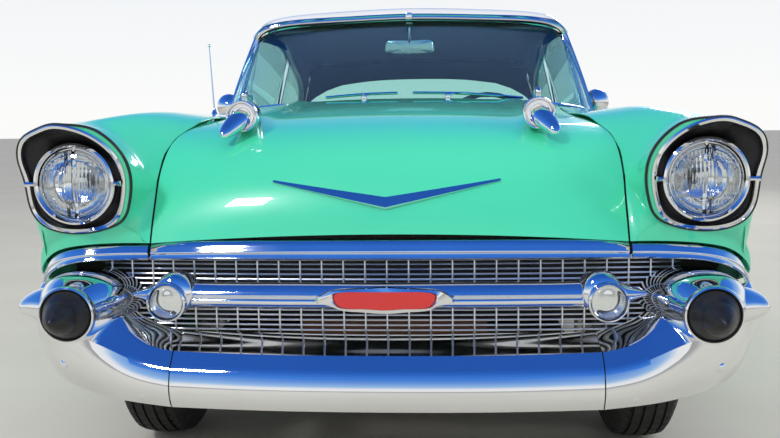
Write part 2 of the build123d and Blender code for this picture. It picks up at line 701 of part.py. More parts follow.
# Grille bar: its two-ridged section, its size at each x, the lamps and the crest's housing
BAR_SECTION = [(62, 600), (30, 605), (14, 598), (0, 579), (8, 573), (0, 561), (18, 543), (62, 545)]
BarRow = namedtuple("BarRow", "x back size")
BAR_ROWS = both_ways([
    BarRow(0, 150, 1.0), BarRow(480, 154, 1.0), BarRow(590, 158, 0.8), BarRow(640, 168, 0.3),
])
BAR_MIDDLE = (32.0, 573.0)
PARK_X = 537.0
PARK_BACK = 130.0
PARK_Z = 571.0
PARK_PROFILE = [(0, 4), (38, 0), (41, 3), (46, -3), (51, 8), (50, 45), (42, 80), (14, 116), (0, 116)]
CREST = [(-171, 566), (-122, 594), (0, 601), (122, 594), (171, 566), (112, 545), (0, 536), (-112, 545)]
CREST_BACK = 136.0
CREST_DEPTH = 30.0
STAY_X = 300.0
STAY_HALF = 15.0


def make_grille_bar():
    wires = []
    mid_back, mid_z = BAR_MIDDLE
    for row in BAR_ROWS:
        start = row.back + mid_back
        wires.append(polygon([
            (row.x, start + (back - mid_back) * row.size, mid_z + (z - mid_z) * row.size)
            for back, z in BAR_SECTION
        ]))
    bar = ruled_loft(wires)
    lamp = turned(PARK_PROFILE, PARK_X, PARK_BACK, PARK_Z)
    stay = block(STAY_X - STAY_HALF, STAY_X + STAY_HALF, 205, GRILLE_BACK - SEATED, 562, 582)
    crest = front_prism(CREST, CREST_BACK, CREST_BACK + CREST_DEPTH)
    return fuse([bar, lamp, mirrored(lamp), stay, mirrored(stay), crest])


# The two-ridged moulding under the hood and along the fender's nose: (back, z) of its section
MOULDING = [(26, 697), (12, 694), (0, 676), (5, 668), (0, 659), (8, 651), (26, 651)]
MouldingRow = namedtuple("MouldingRow", "x back drop size")
LIP_ROWS = both_ways([
    MouldingRow(0, 190, -4, 1.3), MouldingRow(300, 200, -2, 1.2), MouldingRow(600, 224, 0, 1.0),
])
NOSE_ROWS = [
    MouldingRow(613, 232, 0, 1.0), MouldingRow(700, 222, 2, 1.0), MouldingRow(801, 217, 0, 0.95),
    MouldingRow(875, 248, 26, 0.85), MouldingRow(912, 286, 56, 0.6), MouldingRow(931, 322, 76, 0.25),
]


def moulding_wire(row):
    low = MOULDING[-1][1]
    return polygon([
        (row.x, row.back + back * row.size, low + (z - low) * row.size - row.drop) for back, z in MOULDING
    ])


def make_nose_moulding(fender):
    bar = ruled_loft([moulding_wire(row) for row in NOSE_ROWS])
    backing = block(640, 800, 236, NOSE_BACK[0] - SEATED, 655, 690)
    return largest(bar + backing - fender)


# Hood trim: the lip bar, a plain chevron on the nose and two ornaments on the crests
CHEVRON = [(0, 778), (290, 853), (0, 801), (-290, 853)]
CHEVRON_PROUD = 6.0
CHEVRON_BACK = (150.0, 420.0)
SIGHT_X = 415.0
SIGHT_PROFILE = [
    (0, -60), (14, -56), (26, -40), (36, -8), (38, 10), (34, 60), (24, 150), (12, 230), (0, 250),
]
SIGHT_BACK = 460.0
SIGHT_Z = 1004.0
FIN = [(520, 1000), (540, 1030), (590, 1056), (700, 1052), (700, 1010)]
FIN_HALF = 5.0


def make_hood_trim(hood):
    bar = ruled_loft([moulding_wire(row) for row in LIP_ROWS]) - hood
    ahead = ruled_loft([hood_band(row, SKIN, CHEVRON_PROUD) for row in HOODS])
    chevron = (front_prism(CHEVRON, *CHEVRON_BACK) & ahead) - hood
    sight = turned(SIGHT_PROFILE, SIGHT_X, SIGHT_BACK, SIGHT_Z)
    sight = sight + side_prism(FIN, SIGHT_X - FIN_HALF, SIGHT_X + FIN_HALF) - hood
    pieces = [largest(bar), largest(chevron), largest(sight), mirrored(largest(sight))]
    return Compound(pieces)


# Lamp ring, peaked rim and glass
LENS_SPHERE = 150.0
LENS_DOME = 12.0
LENS_DEPTH = 29.5


def make_lamp_ring():
    ring = drum(LAMP_X, LAMP_BACK - 2, LAMP_Z, RING_RADIUS, 16)
    bucket = drum(LAMP_X, LAMP_BACK + 4, LAMP_Z, BUCKET_RADIUS, BUCKET_DEPTH)
    return ring + bucket - drum(LAMP_X, LAMP_BACK - 30, LAMP_Z, LAMP_RADIUS, 60)


def make_lamp_rim():
    plate = ruled_loft([lamp_wire(0, RIM_PROUD), lamp_wire(0, SEATED)])
    inside = [lamp_wire(PEAK_RIM, RIM_PROUD * 2), lamp_wire(PEAK_RIM, -RIM_PROUD)]
    return plate - ruled_loft(inside)


def make_lens():
    centre = Location((LAMP_X, y_of(LAMP_BACK - LENS_DOME + LENS_SPHERE), LAMP_Z))
    dome = Solid.make_sphere(LENS_SPHERE, Plane.XY).moved(centre)
    front = LAMP_BACK - LENS_DOME - 1
    return dome & drum(LAMP_X, front, LAMP_Z, LAMP_RADIUS - SEATED, LENS_DEPTH + LENS_DOME)


# Frame: the rail's underside (back, z) and the crossmembers' places
RAIL_LOW = [(RAIL_FRONT, 335), (1150, 335), (1400, 240), (3180, 240), (3440, 395), (4050, 395), (4300, 335),
            (RAIL_REAR, 335)]
MEMBERS = [(360, 390), (FRONT_AXLE, 330), (1560, 275), (2400, 275), (3200, 275), (4330, 390), (4835, 390)]
MEMBER_HALF = 30.0
MEMBER_RISE = 20.0
SPRING_X = 545.0
SPRING_HALF = 30.0
HANGERS = (3030.0, 4460.0)
HANGER_Z = 315.0
ARM_Z_LOW = (205.0, 235.0)
ARM_Z_HIGH = (470.0, 495.0)
TOWER_HALF = 48.0


def make_rail():
    top = [(back, z + RAIL_HEIGHT) for back, z in reversed(RAIL_LOW)]
    rail = side_prism(RAIL_LOW + top, RAIL_X - RAIL_WIDTH / 2, RAIL_X + RAIL_WIDTH / 2)
    for back in HANGERS:
        rail = rail + block(RAIL_X + 30, SPRING_X + SPRING_HALF, back, back + 30, HANGER_Z, FLOOR_Z)
    tower = block(RAIL_X - 20, RAIL_X + 40, FRONT_AXLE - TOWER_HALF, FRONT_AXLE + TOWER_HALF,
                  RAIL_LOW[0][1] + RAIL_HEIGHT - 5, ARM_Z_HIGH[0])
    return rail + tower


def make_crossmembers():
    reach = RAIL_X - RAIL_WIDTH / 2
    return Compound([
        block(-reach, reach, back - MEMBER_HALF, back + MEMBER_HALF, z - MEMBER_RISE, z + MEMBER_RISE)
        for back, z in MEMBERS
    ])


# Floor: the tunnel's half widths and height, shared by the firewall and the seat riser
TUNNEL_FOOT = 142.0
TUNNEL_TOP = 100.0
TUNNEL_Z = 470.0
TRUNK_WALL_Z = (800.0, 880.0, 918.0)
TRUNK_WALL_BACK = (4740.0, 4870.0)


def tunnel_line(half):
    """The floor's underside across the car: flat, up over the tunnel, and flat again."""
    return [(-half, FLOOR_Z), (-TUNNEL_FOOT, FLOOR_Z), (-TUNNEL_TOP, TUNNEL_Z), (TUNNEL_TOP, TUNNEL_Z),
            (TUNNEL_FOOT, FLOOR_Z), (half, FLOOR_Z)]


def make_floor_pan():
    low = tunnel_line(COWL_HALF + 4)
    side = SHEET * 0.8
    high = [(half, FLOOR_Z + SHEET) for half in (low[-1][0], TUNNEL_FOOT + side)]
    high += [(TUNNEL_TOP + side, TUNNEL_Z + SHEET), (-TUNNEL_TOP - side, TUNNEL_Z + SHEET)]
    high += [(-half, z) for half, z in reversed(high[:2])]
    floor = front_prism(low + high, FIREWALL + SHEET, SEAT_RISER)
    step_x = (COWL_HALF + 3, SILL_IN - SEATED)
    step = block(*step_x, FENDER_REAR + 2, DOOR_REAR - 2, FLOOR_Z, FLOOR_Z + SHEET)
    return fuse([floor, step, mirrored(step)])


def make_firewall():
    half, top = COWL_HALF - 1, COWL_ROWS[0][1] - 40 - SEATED
    return front_prism(tunnel_line(half) + [(half, top), (-half, top)], FIREWALL, FIREWALL + SHEET)


def make_trunk_floor():
    half = REAR_FLOOR_HALF
    outline = tunnel_line(half) + [(half, TRUNK_Z), (-half, TRUNK_Z)]
    riser = front_prism(outline, SEAT_RISER, SEAT_RISER + SHEET)
    floor = block(-half, half, SEAT_RISER, TAIL_PLATE - SEATED, TRUNK_Z, TRUNK_Z + SHEET)
    low, middle, high = TRUNK_WALL_Z
    knee, end = TRUNK_WALL_BACK
    outline = [(SEAT_RISER, TRUNK_Z), (end, TRUNK_Z), (end, low), (knee, middle), (TRUNK_FRONT, high),
               (SEAT_RISER, high)]
    wall = side_prism(outline, half - PANEL_GAP, half)
    return fuse([riser, floor, wall, mirrored(wall)])


# Engine bay
ENGINE_HALF = 270.0
ENGINE = (560.0, 1190.0, 900.0)
GEARBOX_HALF = 130.0
GEARBOX = (1470.0, 290.0, 480.0)
RADIATOR_SUPPORT = [(0, 457), (530, 457), (860, 520), (895.7, 660), (880, 780), (640, 850), (0, 850)]
SUPPORT_BACK = (430.0, 440.0)
RADIATOR = (430.0, 500.0, 460.0, 900.0)
CORE = (380.0, 500.0, 870.0)
APRON_SECTION = [(455, 500), (463, 500), (463, 880), (560, 960), (552, 966), (455, 888)]
APRON_SIDE = [(440, 500), (1480, 500), (1480, 962), (560, 935), (440, 800)]


def make_engine():
    front, rear, top = ENGINE
    tail, low, high = GEARBOX
    engine = block(-ENGINE_HALF, ENGINE_HALF, front, rear, FLOOR_Z + 2, top)
    engine = engine + block(-GEARBOX_HALF, GEARBOX_HALF, rear, tail, low, high)
    reach = RAIL_X - RAIL_WIDTH / 2 - SEATED
    return engine + block(-reach, reach, 1000, 1060, 380, 430)


def make_radiator():
    half, low, high = CORE
    outline = RADIATOR_SUPPORT + [(-x, z) for x, z in reversed(RADIATOR_SUPPORT[1:-1])]
    support = front_prism(outline, *SUPPORT_BACK)
    tank = block(-RADIATOR[0], RADIATOR[0], SUPPORT_BACK[1], RADIATOR[1], *RADIATOR[2:])
    window = block(-half, half, SUPPORT_BACK[0] - 5, RADIATOR[1] + 5, low, high)
    return support + tank - window + block(-half, half, 455, 490, low, high)


def make_apron():
    reach = (SUPPORT_BACK[1] + SEATED, FIREWALL - SEATED)
    outline = [(min(max(back, reach[0]), reach[1]), z) for back, z in APRON_SIDE]
    return front_prism(APRON_SECTION, *reach) & side_prism(outline, 400, 600)


# Running gear: the king pin and the drums stand a set way inside the wheels' middles
KING_INSET = 156.5
DRUM_INSET = 157.0
DRUM_WIDTH = 65.0
DRUM_RADIUS = 140.0
SPINDLE_OUT = 30.0
BRAKE_RADIUS = 130.0
KING_X = TRACK_FRONT / 2 - KING_INSET
DRUM_X = TRACK_REAR / 2 - DRUM_INSET
DIFF_RADIUS = 140.0
PINION_LENGTH = 149.0
SHAFT_Z = 380.0
SADDLE_HALF = 50.0
SPRING_SEAT_Z = 290.0
SPRING_DEPTH = 22.0
SPRING_EYES = (325.0, 330.0)
# Upper and lower arms: root x, half spread at the root, how far the tip lies outside the king pin, heights
WishArm = namedtuple("WishArm", "root spread tip heights")
WISH_ARMS = [WishArm(300, 150, 20, ARM_Z_LOW), WishArm(440, 110, -10, ARM_Z_HIGH)]
ARM_TIP = 25.0


def make_rear_axle():
    axle = rod((-DRUM_X, REAR_AXLE, AXLE_Z), (DRUM_X, REAR_AXLE, AXLE_Z), 40)
    axle = axle + Solid.make_sphere(DIFF_RADIUS, Plane.XY).moved(Location((0, y_of(REAR_AXLE), AXLE_Z)))
    axle = axle + rod((0, REAR_AXLE, AXLE_Z), (0, REAR_AXLE - PINION_LENGTH, AXLE_Z), 60)
    inner, outer = (DRUM_X, REAR_AXLE, AXLE_Z), (DRUM_X + DRUM_WIDTH, REAR_AXLE, AXLE_Z)
    brake = rod(inner, outer, DRUM_RADIUS)
    spindle = rod(outer, (TRACK_REAR / 2 + SPINDLE_OUT, REAR_AXLE, AXLE_Z), SPINDLE_RADIUS)
    saddle = block(SPRING_X - SPRING_HALF, SPRING_X + SPRING_HALF, REAR_AXLE - SADDLE_HALF,
                   REAR_AXLE + SADDLE_HALF, SPRING_SEAT_Z, AXLE_Z)
    end = fuse([brake, spindle, saddle])
    axle = axle + end + mirrored(end)
    shaft = rod((0, GEARBOX[0] + 1, SHAFT_Z), (0, REAR_AXLE - PINION_LENGTH - 3, AXLE_Z), 38)
    return Compound([axle, shaft])


def make_suspension():
    """Upper and lower arms of the front wheels and the rear leaf springs."""
    front, rear = HANGERS[0] + 30 + SEATED, HANGERS[1] - SEATED
    clamp = SPRING_SEAT_Z - SPRING_DEPTH
    low = [(front, SPRING_EYES[0]), (REAR_AXLE - SADDLE_HALF, clamp), (REAR_AXLE + SADDLE_HALF, clamp),
           (rear, SPRING_EYES[1])]
    high = [(back, z + SPRING_DEPTH) for back, z in reversed(low)]
    leaf = side_prism(low + high, SPRING_X - SPRING_HALF, SPRING_X + SPRING_HALF)
    pieces = [leaf]
    for row in WISH_ARMS:
        tip = KING_X + row.tip
        front = [(row.root, FRONT_AXLE - row.spread), (tip, FRONT_AXLE - ARM_TIP)]
        outline = front + [(tip, FRONT_AXLE + ARM_TIP), (row.root, FRONT_AXLE + row.spread)]
        pieces.append(plan_prism(outline, *row.heights))
    return Compound(pieces + [mirrored(piece) for piece in pieces])


def make_knuckle():
    pin = rod((KING_X, FRONT_AXLE, ARM_Z_LOW[1] + SEATED), (KING_X, FRONT_AXLE, ARM_Z_HIGH[0] - SEATED), 20)
    tip = TRACK_FRONT / 2 + SPINDLE_OUT
    spindle = rod((KING_X - 10, FRONT_AXLE, AXLE_Z), (tip, FRONT_AXLE, AXLE_Z), SPINDLE_RADIUS)
    brake = rod((KING_X + 30, FRONT_AXLE, AXLE_Z), (KING_X + 52, FRONT_AXLE, AXLE_Z), BRAKE_RADIUS)
    return fuse([pin, spindle, brake])


# Wheels and tyres: half sections as (radius, distance out from the middle of the wheel)
BORE = SPINDLE_RADIUS + 0.05
HALF_RIM = RIM_WIDTH / 2
HALF_TYRE = TYRE_WIDTH / 2
RIM_LIP = RIM_RADIUS + 8.0
WELL = RIM_RADIUS - 22.0
WHEEL_SECTION = [
    (BORE, -40), (150, -40), (150, -10), (RIM_RADIUS - 14, -HALF_RIM), (RIM_LIP, -HALF_RIM),
    (RIM_LIP, -HALF_RIM + 8), (WELL, -HALF_RIM + 30), (WELL, HALF_RIM - 30), (RIM_LIP, HALF_RIM - 8),
    (RIM_LIP, HALF_RIM),
    (RIM_RADIUS - 14, HALF_RIM), (150, 30), (120, 42), (100, 38), (BORE, 46),
]
TYRE_SECTION = [
    (RIM_LIP + SEATED, -62), (RIM_RADIUS + 60, -HALF_TYRE), (TYRE_RADIUS - 30, -HALF_TYRE + 10),
    (TYRE_RADIUS, -HALF_TYRE + 42), (TYRE_RADIUS, HALF_TYRE - 42), (TYRE_RADIUS - 30, HALF_TYRE - 10),
    (RIM_RADIUS + 60, HALF_TYRE), (RIM_LIP + SEATED, 62),
]
CAP_SECTION = [(0, 44), (92, 44), (90, 56), (60, 66), (22, 76), (0, 78)]


def spun(section, x, back, side):
    """A section turned about the wheel's axle, its outer side away from the car."""
    solid = revolve(Plane.XZ * make_face(Polyline(*section, close=True)), Axis.Z)
    return Pos(x, y_of(back), AXLE_Z) * Rot(0, 90 * side, 0) * solid


# Exhaust, one pipe each side: (x, back, z)
PIPE = [
    (ENGINE_HALF + SEATED, 1122, 440), (297, 1122, 440), (297, 1330, 218), (230, 2600, 218),
    (230, 3150, 218), (335, 3420, 218), (335, 3610, 430), (335, 3920, 430), (335, 4200, 296),
    (335, 5000, 296),
]
PIPE_RADIUS = 24.0
MUFFLER_RADIUS = 65.0
MUFFLER_SPAN = 3
TANK = (380.0, 4380.0, 4800.0, 330.0)


def make_exhaust():
    pipes = [rod(start, end, PIPE_RADIUS) for start, end in zip(PIPE, PIPE[1:])]
    muffler = rod(PIPE[MUFFLER_SPAN], PIPE[MUFFLER_SPAN + 1], MUFFLER_RADIUS)
    return fuse(pipes + [muffler])


# Cabin
COLUMN_X = 340.0
COLUMN_RADIUS = 24.0
COLUMN_FOOT = (1504.0, 620.0)
WHEEL_BACK = 2010.0
WHEEL_Z = 900.0
WHEEL_RADIUS = 205.0
GRIP_RADIUS = 12.0
WHEEL_LIFT = 30.0
COLUMN_END = (20.0, 11.1)
COLUMN_TOP = (WHEEL_BACK - COLUMN_END[0], WHEEL_Z - COLUMN_END[1])
DASH_HALF = 700.0
DASH_SECTION = [
    (1530, 800), (1600, 770), (1660, 800), (1690, 850), (1680, 930), (1700, 965), (1680, 985), (1530, 985),
]
DASH_BRACE = (1500.3, 1560.0, 940.0, 985.0)
SEAT_HALF = 640.0
REAR_SEAT_HALF = 585.0
FRONT_CUSHION = [
    (2250, 500), (2265, 482), (2700, 482), (2700, 600), (2560, 632), (2320, 652), (2262, 630), (2250, 590),
]
FRONT_BACKREST = [(2620, 600), (2700, 588), (2800, 700), (2880, 940), (2868, 975), (2830, 988), (2790, 975),
                  (2700, 760)]
REAR_CUSHION = [(3130, 530), (3145, 520), (3560, 520), (3560, 620), (3400, 640), (3180, 652), (3135, 625)]
REAR_BACKREST = [(3500, 600), (3640, 600), (3690, 760), (3713, 880), (3708, 918), (3680, 930), (3655, 920),
                 (3580, 760)]
SEAT_FOOT_X = (160.0, 600.0)
SEAT_FOOT_BACK = (2300.0, 2680.0)
SHELF_BACK = 3714.0


def column_line():
    return Vector(0, COLUMN_TOP[0] - COLUMN_FOOT[0], COLUMN_TOP[1] - COLUMN_FOOT[1]).normalized()


def make_column():
    return rod((COLUMN_X, *COLUMN_FOOT), (COLUMN_X, *COLUMN_TOP), COLUMN_RADIUS)


def make_dashboard(column):
    dash = side_prism(DASH_SECTION, -DASH_HALF, DASH_HALF)
    bracket = block(COLUMN_X - 20, COLUMN_X + 20, 1600, 1640, 660, 800)
    half = COWL_HALF - SEATED
    return dash + bracket + block(-half, half, *DASH_BRACE) - column


def make_steering_wheel():
    origin = Vector(COLUMN_X, y_of(WHEEL_BACK), WHEEL_Z) + column_line() * WHEEL_LIFT
    plane = Plane(origin=origin, x_dir=(1, 0, 0), z_dir=column_line())
    rim = plane * Torus(WHEEL_RADIUS, GRIP_RADIUS)
    hub = plane * Pos(0, 0, -26.6) * Cylinder(30, 52)
    spokes = plane * Box(2 * (WHEEL_RADIUS - 5), 22, 12)
    return fuse([rim, hub, plane * Cylinder(38, 24), spokes])


def make_front_seat():
    half = SEAT_HALF
    foot = block(*SEAT_FOOT_X, *SEAT_FOOT_BACK, FLOOR_Z + SHEET, FRONT_CUSHION[0][1])
    cushion, backrest = side_prism(FRONT_CUSHION, -half, half), side_prism(FRONT_BACKREST, -half, half)
    return fuse([cushion, backrest, foot, mirrored(foot)])


def make_rear_seat():
    half = REAR_SEAT_HALF
    return side_prism(REAR_CUSHION, -half, half) + side_prism(REAR_BACKREST, -half, half)


# Small pieces
ANTENNA = [(-689, 1250, 1012), (-689, 1250, 1040), (-689, 1330, 1277)]
ANTENNA_RADII = (16.0, 3.5)
WIPER = [(300, 1480, 1045), (300, 1470, 1094), (300, 1472, 1090), (560, 1512, 1088)]
WIPER_RADII = (9.0, 5.0)
INSIDE_MIRROR = (220.0, 16.0, 58.0)
INSIDE_MIRROR_AT = (2085.0, 1316.0)
DOOR_MIRROR = (852.0, 2105.0, 1062.0)
MIRROR_SECTION = [(0, -22), (20, -19), (44, -8), (55, 8), (57, 26), (50, 30), (0, 30)]


def make_antenna(fender):
    base, collar, tip = ANTENNA
    mast = rod(base, collar, ANTENNA_RADII[0]) + rod(collar, tip, ANTENNA_RADII[1])
    return largest(mast - mirrored(fender))


def make_wiper(side, body, glass):
    places = [(side * x, back, z) for x, back, z in WIPER]
    wiper = rod(places[0], places[1], WIPER_RADII[0]) + rod(places[2], places[3], WIPER_RADII[1])
    return largest(wiper - body - glass)


def make_inside_mirror(roof):
    back, z = INSIDE_MIRROR_AT
    head = Pos(0, y_of(back), z) * Box(*INSIDE_MIRROR)
    stem = rod((0, back + 5, z + 14), (0, back + 45, z + 124), 6)
    return largest(head + stem - roof)


def make_door_mirror(door):
    x, back, z = DOOR_MIRROR
    head = turned(MIRROR_SECTION, x, back, z)
    stem = rod((x - 14, back + 15, z - 87), (x - 2, back + 15, z - 32), 8)
    return largest(head + stem - door)


def make_body():
    """Every panel of the body and its glass."""
    outer = side_volume(0.0, SILL_BOTTOM, SIDE_CORE)
    skin = outer - side_volume(SKIN, SILL_BOTTOM - CORE_DROP, SIDE_CORE - CORE_INSET)
    fender, quarter, door = make_fender(skin), make_quarter(skin), make_door(outer)
    roof, hood = make_roof(outer), make_hood()
    sides = quarter + mirrored(quarter)
    cowl = largest(crowned_panel(COWL_ROWS, COWL_HALF, 40) - sides)
    deck = largest(crowned_panel(DECK_ROWS, BELT_HALF - 83, 30) - sides)
    tail_half = TRUNK_HALF + 20
    tail = largest(block(-tail_half, tail_half, TAIL_PLATE, TAIL_PLATE + TAIL_THICK, 430, 612) - sides)
    windshield = ruled_loft([glass_wire(row) for row in WINDSHIELD]) - roof
    window_end = side_prism(behind_windows(WINDOW_ROOM), SIDE_CORE, FAR)
    door_glass = largest(side_glass(*DOOR_GLASS) - door - roof - window_end)
    quarter_glass = largest(side_glass(*QUARTER_GLASS) - roof - quarter)
    moulding = make_nose_moulding(fender)
    return {
        "fender_left": fender, "fender_right": mirrored(fender),
        "quarter_left": quarter, "quarter_right": mirrored(quarter),
        "door_left": door, "door_right": mirrored(door),
        "cowl": cowl, "rear_panels": Compound([deck, tail]),
        "hood": hood, "hood_trim": make_hood_trim(hood), "trunk_lid": make_trunk_lid(), "roof": roof,
        "windshield": windshield,
        "rear_window": ruled_loft([glass_wire(row) for row in REAR_GLASS]) - roof,
        "door_glass_left": door_glass, "door_glass_right": mirrored(door_glass),
        "quarter_windows": pair(quarter_glass), "fender_mouldings": pair(moulding),
        "antenna": make_antenna(fender),
        "wipers": Compound([make_wiper(side, sides + cowl, windshield) for side in (-1, 1)]),
        "interior_mirror": make_inside_mirror(roof),
        "mirror_left": make_door_mirror(door), "mirror_right": mirrored(make_door_mirror(door)),
    }


def make_front():
    """Lamps, bumpers and grille."""
    ring, rim = make_lamp_ring(), make_lamp_rim()
    lamp = oval_loft(TAIL_LAMP)
    return {
        "headlamp_rings": Compound([ring, rim, mirrored(ring), mirrored(rim)]),
        "headlamp_lenses": pair(make_lens()),
        "front_bumper": make_front_bumper(), "bumper_bullets": pair(make_bullet()),
        "rear_bumper": make_rear_bumper(), "tail_lamps": pair(lamp),
        "grille": make_grille(), "grille_bar": make_grille_bar(),
    }


def make_chassis():
    """Frame, floor, engine and running gear."""
    rail, knuckle, apron, pipe = make_rail(), make_knuckle(), make_apron(), make_exhaust()
    pieces = {
        "frame_rails": pair(rail), "crossmembers": make_crossmembers(),
        "floor_pan": make_floor_pan(), "firewall": make_firewall(), "trunk_floor": make_trunk_floor(),
        "inner_fenders": pair(apron), "engine": make_engine(), "radiator": make_radiator(),
        "rear_axle": make_rear_axle(), "suspension": make_suspension(),
        "knuckle_left": knuckle, "knuckle_right": mirrored(knuckle),
        "exhaust": pair(pipe),
        "fuel_tank": block(-TANK[0], TANK[0], *TANK[1:], TRUNK_Z),
    }
    for end, back, track in (("front", FRONT_AXLE, TRACK_FRONT), ("rear", REAR_AXLE, TRACK_REAR)):
        for hand, side in (("left", 1), ("right", -1)):
            at = (side * track / 2, back, side)
            pieces[f"wheel_{end}_{hand}"] = spun(WHEEL_SECTION, *at) + spun(CAP_SECTION, *at)
            pieces[f"tyre_{end}_{hand}"] = spun(TYRE_SECTION, *at)
    return pieces


def make_cabin():
    column = make_column()
    half = REAR_FLOOR_HALF
    low, high = TRUNK_WALL_Z[2], TRUNK_WALL_Z[2] + SHEET
    return {
        "steering_column": column, "dashboard": make_dashboard(column),
        "steering_wheel": make_steering_wheel(),
        "front_seat": make_front_seat(), "rear_seat": make_rear_seat(),
        "package_shelf": block(-half, half, SHELF_BACK, DECK_ROWS[0][0], low, high),
    }


os.makedirs("parts", exist_ok=True)
for pieces in (make_body(), make_front(), make_chassis(), make_cabin()):
    for name, shape in pieces.items():
        export_step(shape, f"parts/{name}.step")
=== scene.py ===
from math import atan2, cos, pi, radians, sin, sqrt

import bmesh
import bpy
import numpy as np
from mathutils import Matrix, Vector


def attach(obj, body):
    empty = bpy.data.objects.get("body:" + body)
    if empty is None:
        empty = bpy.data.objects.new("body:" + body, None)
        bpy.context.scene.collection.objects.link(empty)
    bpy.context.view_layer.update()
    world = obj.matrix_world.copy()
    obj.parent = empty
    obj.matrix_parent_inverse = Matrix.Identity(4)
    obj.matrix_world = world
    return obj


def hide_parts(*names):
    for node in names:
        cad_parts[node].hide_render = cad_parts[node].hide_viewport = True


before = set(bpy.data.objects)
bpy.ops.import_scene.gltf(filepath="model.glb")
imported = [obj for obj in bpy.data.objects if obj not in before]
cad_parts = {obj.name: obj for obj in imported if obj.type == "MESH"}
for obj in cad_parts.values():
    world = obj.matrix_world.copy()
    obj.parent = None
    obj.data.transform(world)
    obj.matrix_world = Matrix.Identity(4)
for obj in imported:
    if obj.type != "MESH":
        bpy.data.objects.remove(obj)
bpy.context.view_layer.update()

# Every length here is in millimetres, and a place is (x, back, z): x to the car's left,
# back from the front-most tips, z up from the ground.
MM = 0.001
LENGTH = 5080.0
FRONT_AXLE = 838.0
REAR_AXLE = 3759.0
TRACK_FRONT = 1473.0
TRACK_REAR = 1494.0
TYRE_RADIUS = 342.0
DOOR_FRONT = 1642.0
DOOR_REAR = 2880.0
GAP = 5.0
SHEET = 3.0
WELD = 0.05
LEFT, BACK, UP = (1, 0, 0), (0, 1, 0), (0, 0, 1)
HANDS = ((1, "left"), (-1, "right"))


def metres(points):
    """Places in millimetres, as Blender's metres in the shared frame."""
    points = np.asarray(points, float).reshape(-1, 3)
    return np.column_stack([points[:, 0], points[:, 1] - LENGTH / 2, points[:, 2]]) * MM


# Curves and surfaces
def spline(knots, values, at):
    """Natural cubic curve through values at knots, read at each place in at."""
    knots = np.asarray(knots, float)
    values = np.asarray(values, float)
    count = len(knots)
    if values.ndim == 1:
        values = values[:, None]
    if count == 2:
        share = ((np.asarray(at, float) - knots[0]) / (knots[1] - knots[0]))[:, None]
        return values[0] * (1 - share) + values[1] * share
    step = np.diff(knots)
    slope = np.diff(values, axis=0) / step[:, None]
    matrix = np.eye(count)
    right = np.zeros_like(values)
    for i in range(1, count - 1):
        matrix[i, i - 1:i + 2] = step[i - 1], 2 * (step[i - 1] + step[i]), step[i]
        right[i] = 6 * (slope[i] - slope[i - 1])
    bend = np.linalg.solve(matrix, right)
    at = np.asarray(at, float)
    i = np.clip(np.searchsorted(knots, at, side="right") - 1, 0, count - 2)
    width = step[i][:, None]
    ahead = (knots[i + 1] - at)[:, None]
    behind = (at - knots[i])[:, None]
    curved = (bend[i] * ahead ** 3 + bend[i + 1] * behind ** 3) / (6 * width)
    before = (values[i] / width - bend[i] * width / 6) * ahead
    after = (values[i + 1] / width - bend[i + 1] * width / 6) * behind
    return curved + before + after


def knots_of(points):
    gaps = np.linalg.norm(np.diff(points, axis=0), axis=1) ** 0.5
    return np.concatenate([[0.0], np.cumsum(np.maximum(gaps, 1e-6))])


def through(points, count, closed=False):
    """A smooth line through points, read at count places; a closed one doesn't repeat its start."""
    points = np.asarray(points, float)
    if not closed:
        knots = knots_of(points)
        return spline(knots, points, np.linspace(knots[0], knots[-1], count))
    size = len(points)
    wrap = min(4, size)
    longer = np.vstack([points[-wrap:], points, points[:wrap + 1]])
    knots = knots_of(longer)
    return spline(knots, longer, np.linspace(knots[wrap], knots[wrap + size], count + 1)[:-1])


def even(points, count, closed=False):
    """The same line with its places spread evenly along its length."""
    fine = through(points, count * 12, closed)
    if closed:
        fine = np.vstack([fine, fine[:1]])
    run = np.concatenate([[0.0], np.cumsum(np.linalg.norm(np.diff(fine, axis=0), axis=1))])
    at = np.linspace(0, run[-1], count + 1)[:-1] if closed else np.linspace(0, run[-1], count)
    return np.column_stack([np.interp(at, run, fine[:, k]) for k in range(fine.shape[1])])


def loft(rows, along, per_span, creases=()):
    """A smooth skin over rows of places: along is the rows wanted, and creases stay sharp."""
    rows = np.asarray(rows, float)
    count, columns = rows.shape[0], rows.shape[1]
    middle = rows.mean(axis=1)
    knots = knots_of(middle)
    flat = spline(knots, rows.reshape(count, -1), np.linspace(knots[0], knots[-1], along))
    dense = flat.reshape(along, columns, 3)
    stops = [0] + sorted(creases) + [columns - 1]
    result = []
    for row in dense:
        pieces = []
        for first, last in zip(stops, stops[1:]):
            span = row[first:last + 1]
            if len(span) > 2:
                piece = through(span, per_span * (last - first) + 1)
            else:
                piece = np.linspace(span[0], span[1], per_span + 1)
            pieces.append(piece if first == 0 else piece[1:])
        result.append(np.vstack(pieces))
    return np.array(result)


def grid_faces(rows, columns, wrap_rows=False, wrap_columns=False):
    faces = []
    for i in range(rows if wrap_rows else rows - 1):
        for j in range(columns if wrap_columns else columns - 1):
            a, b = i % rows, (i + 1) % rows
            c, d = j % columns, (j + 1) % columns
            faces.append((a * columns + c, a * columns + d, b * columns + d, b * columns + c))
    return faces


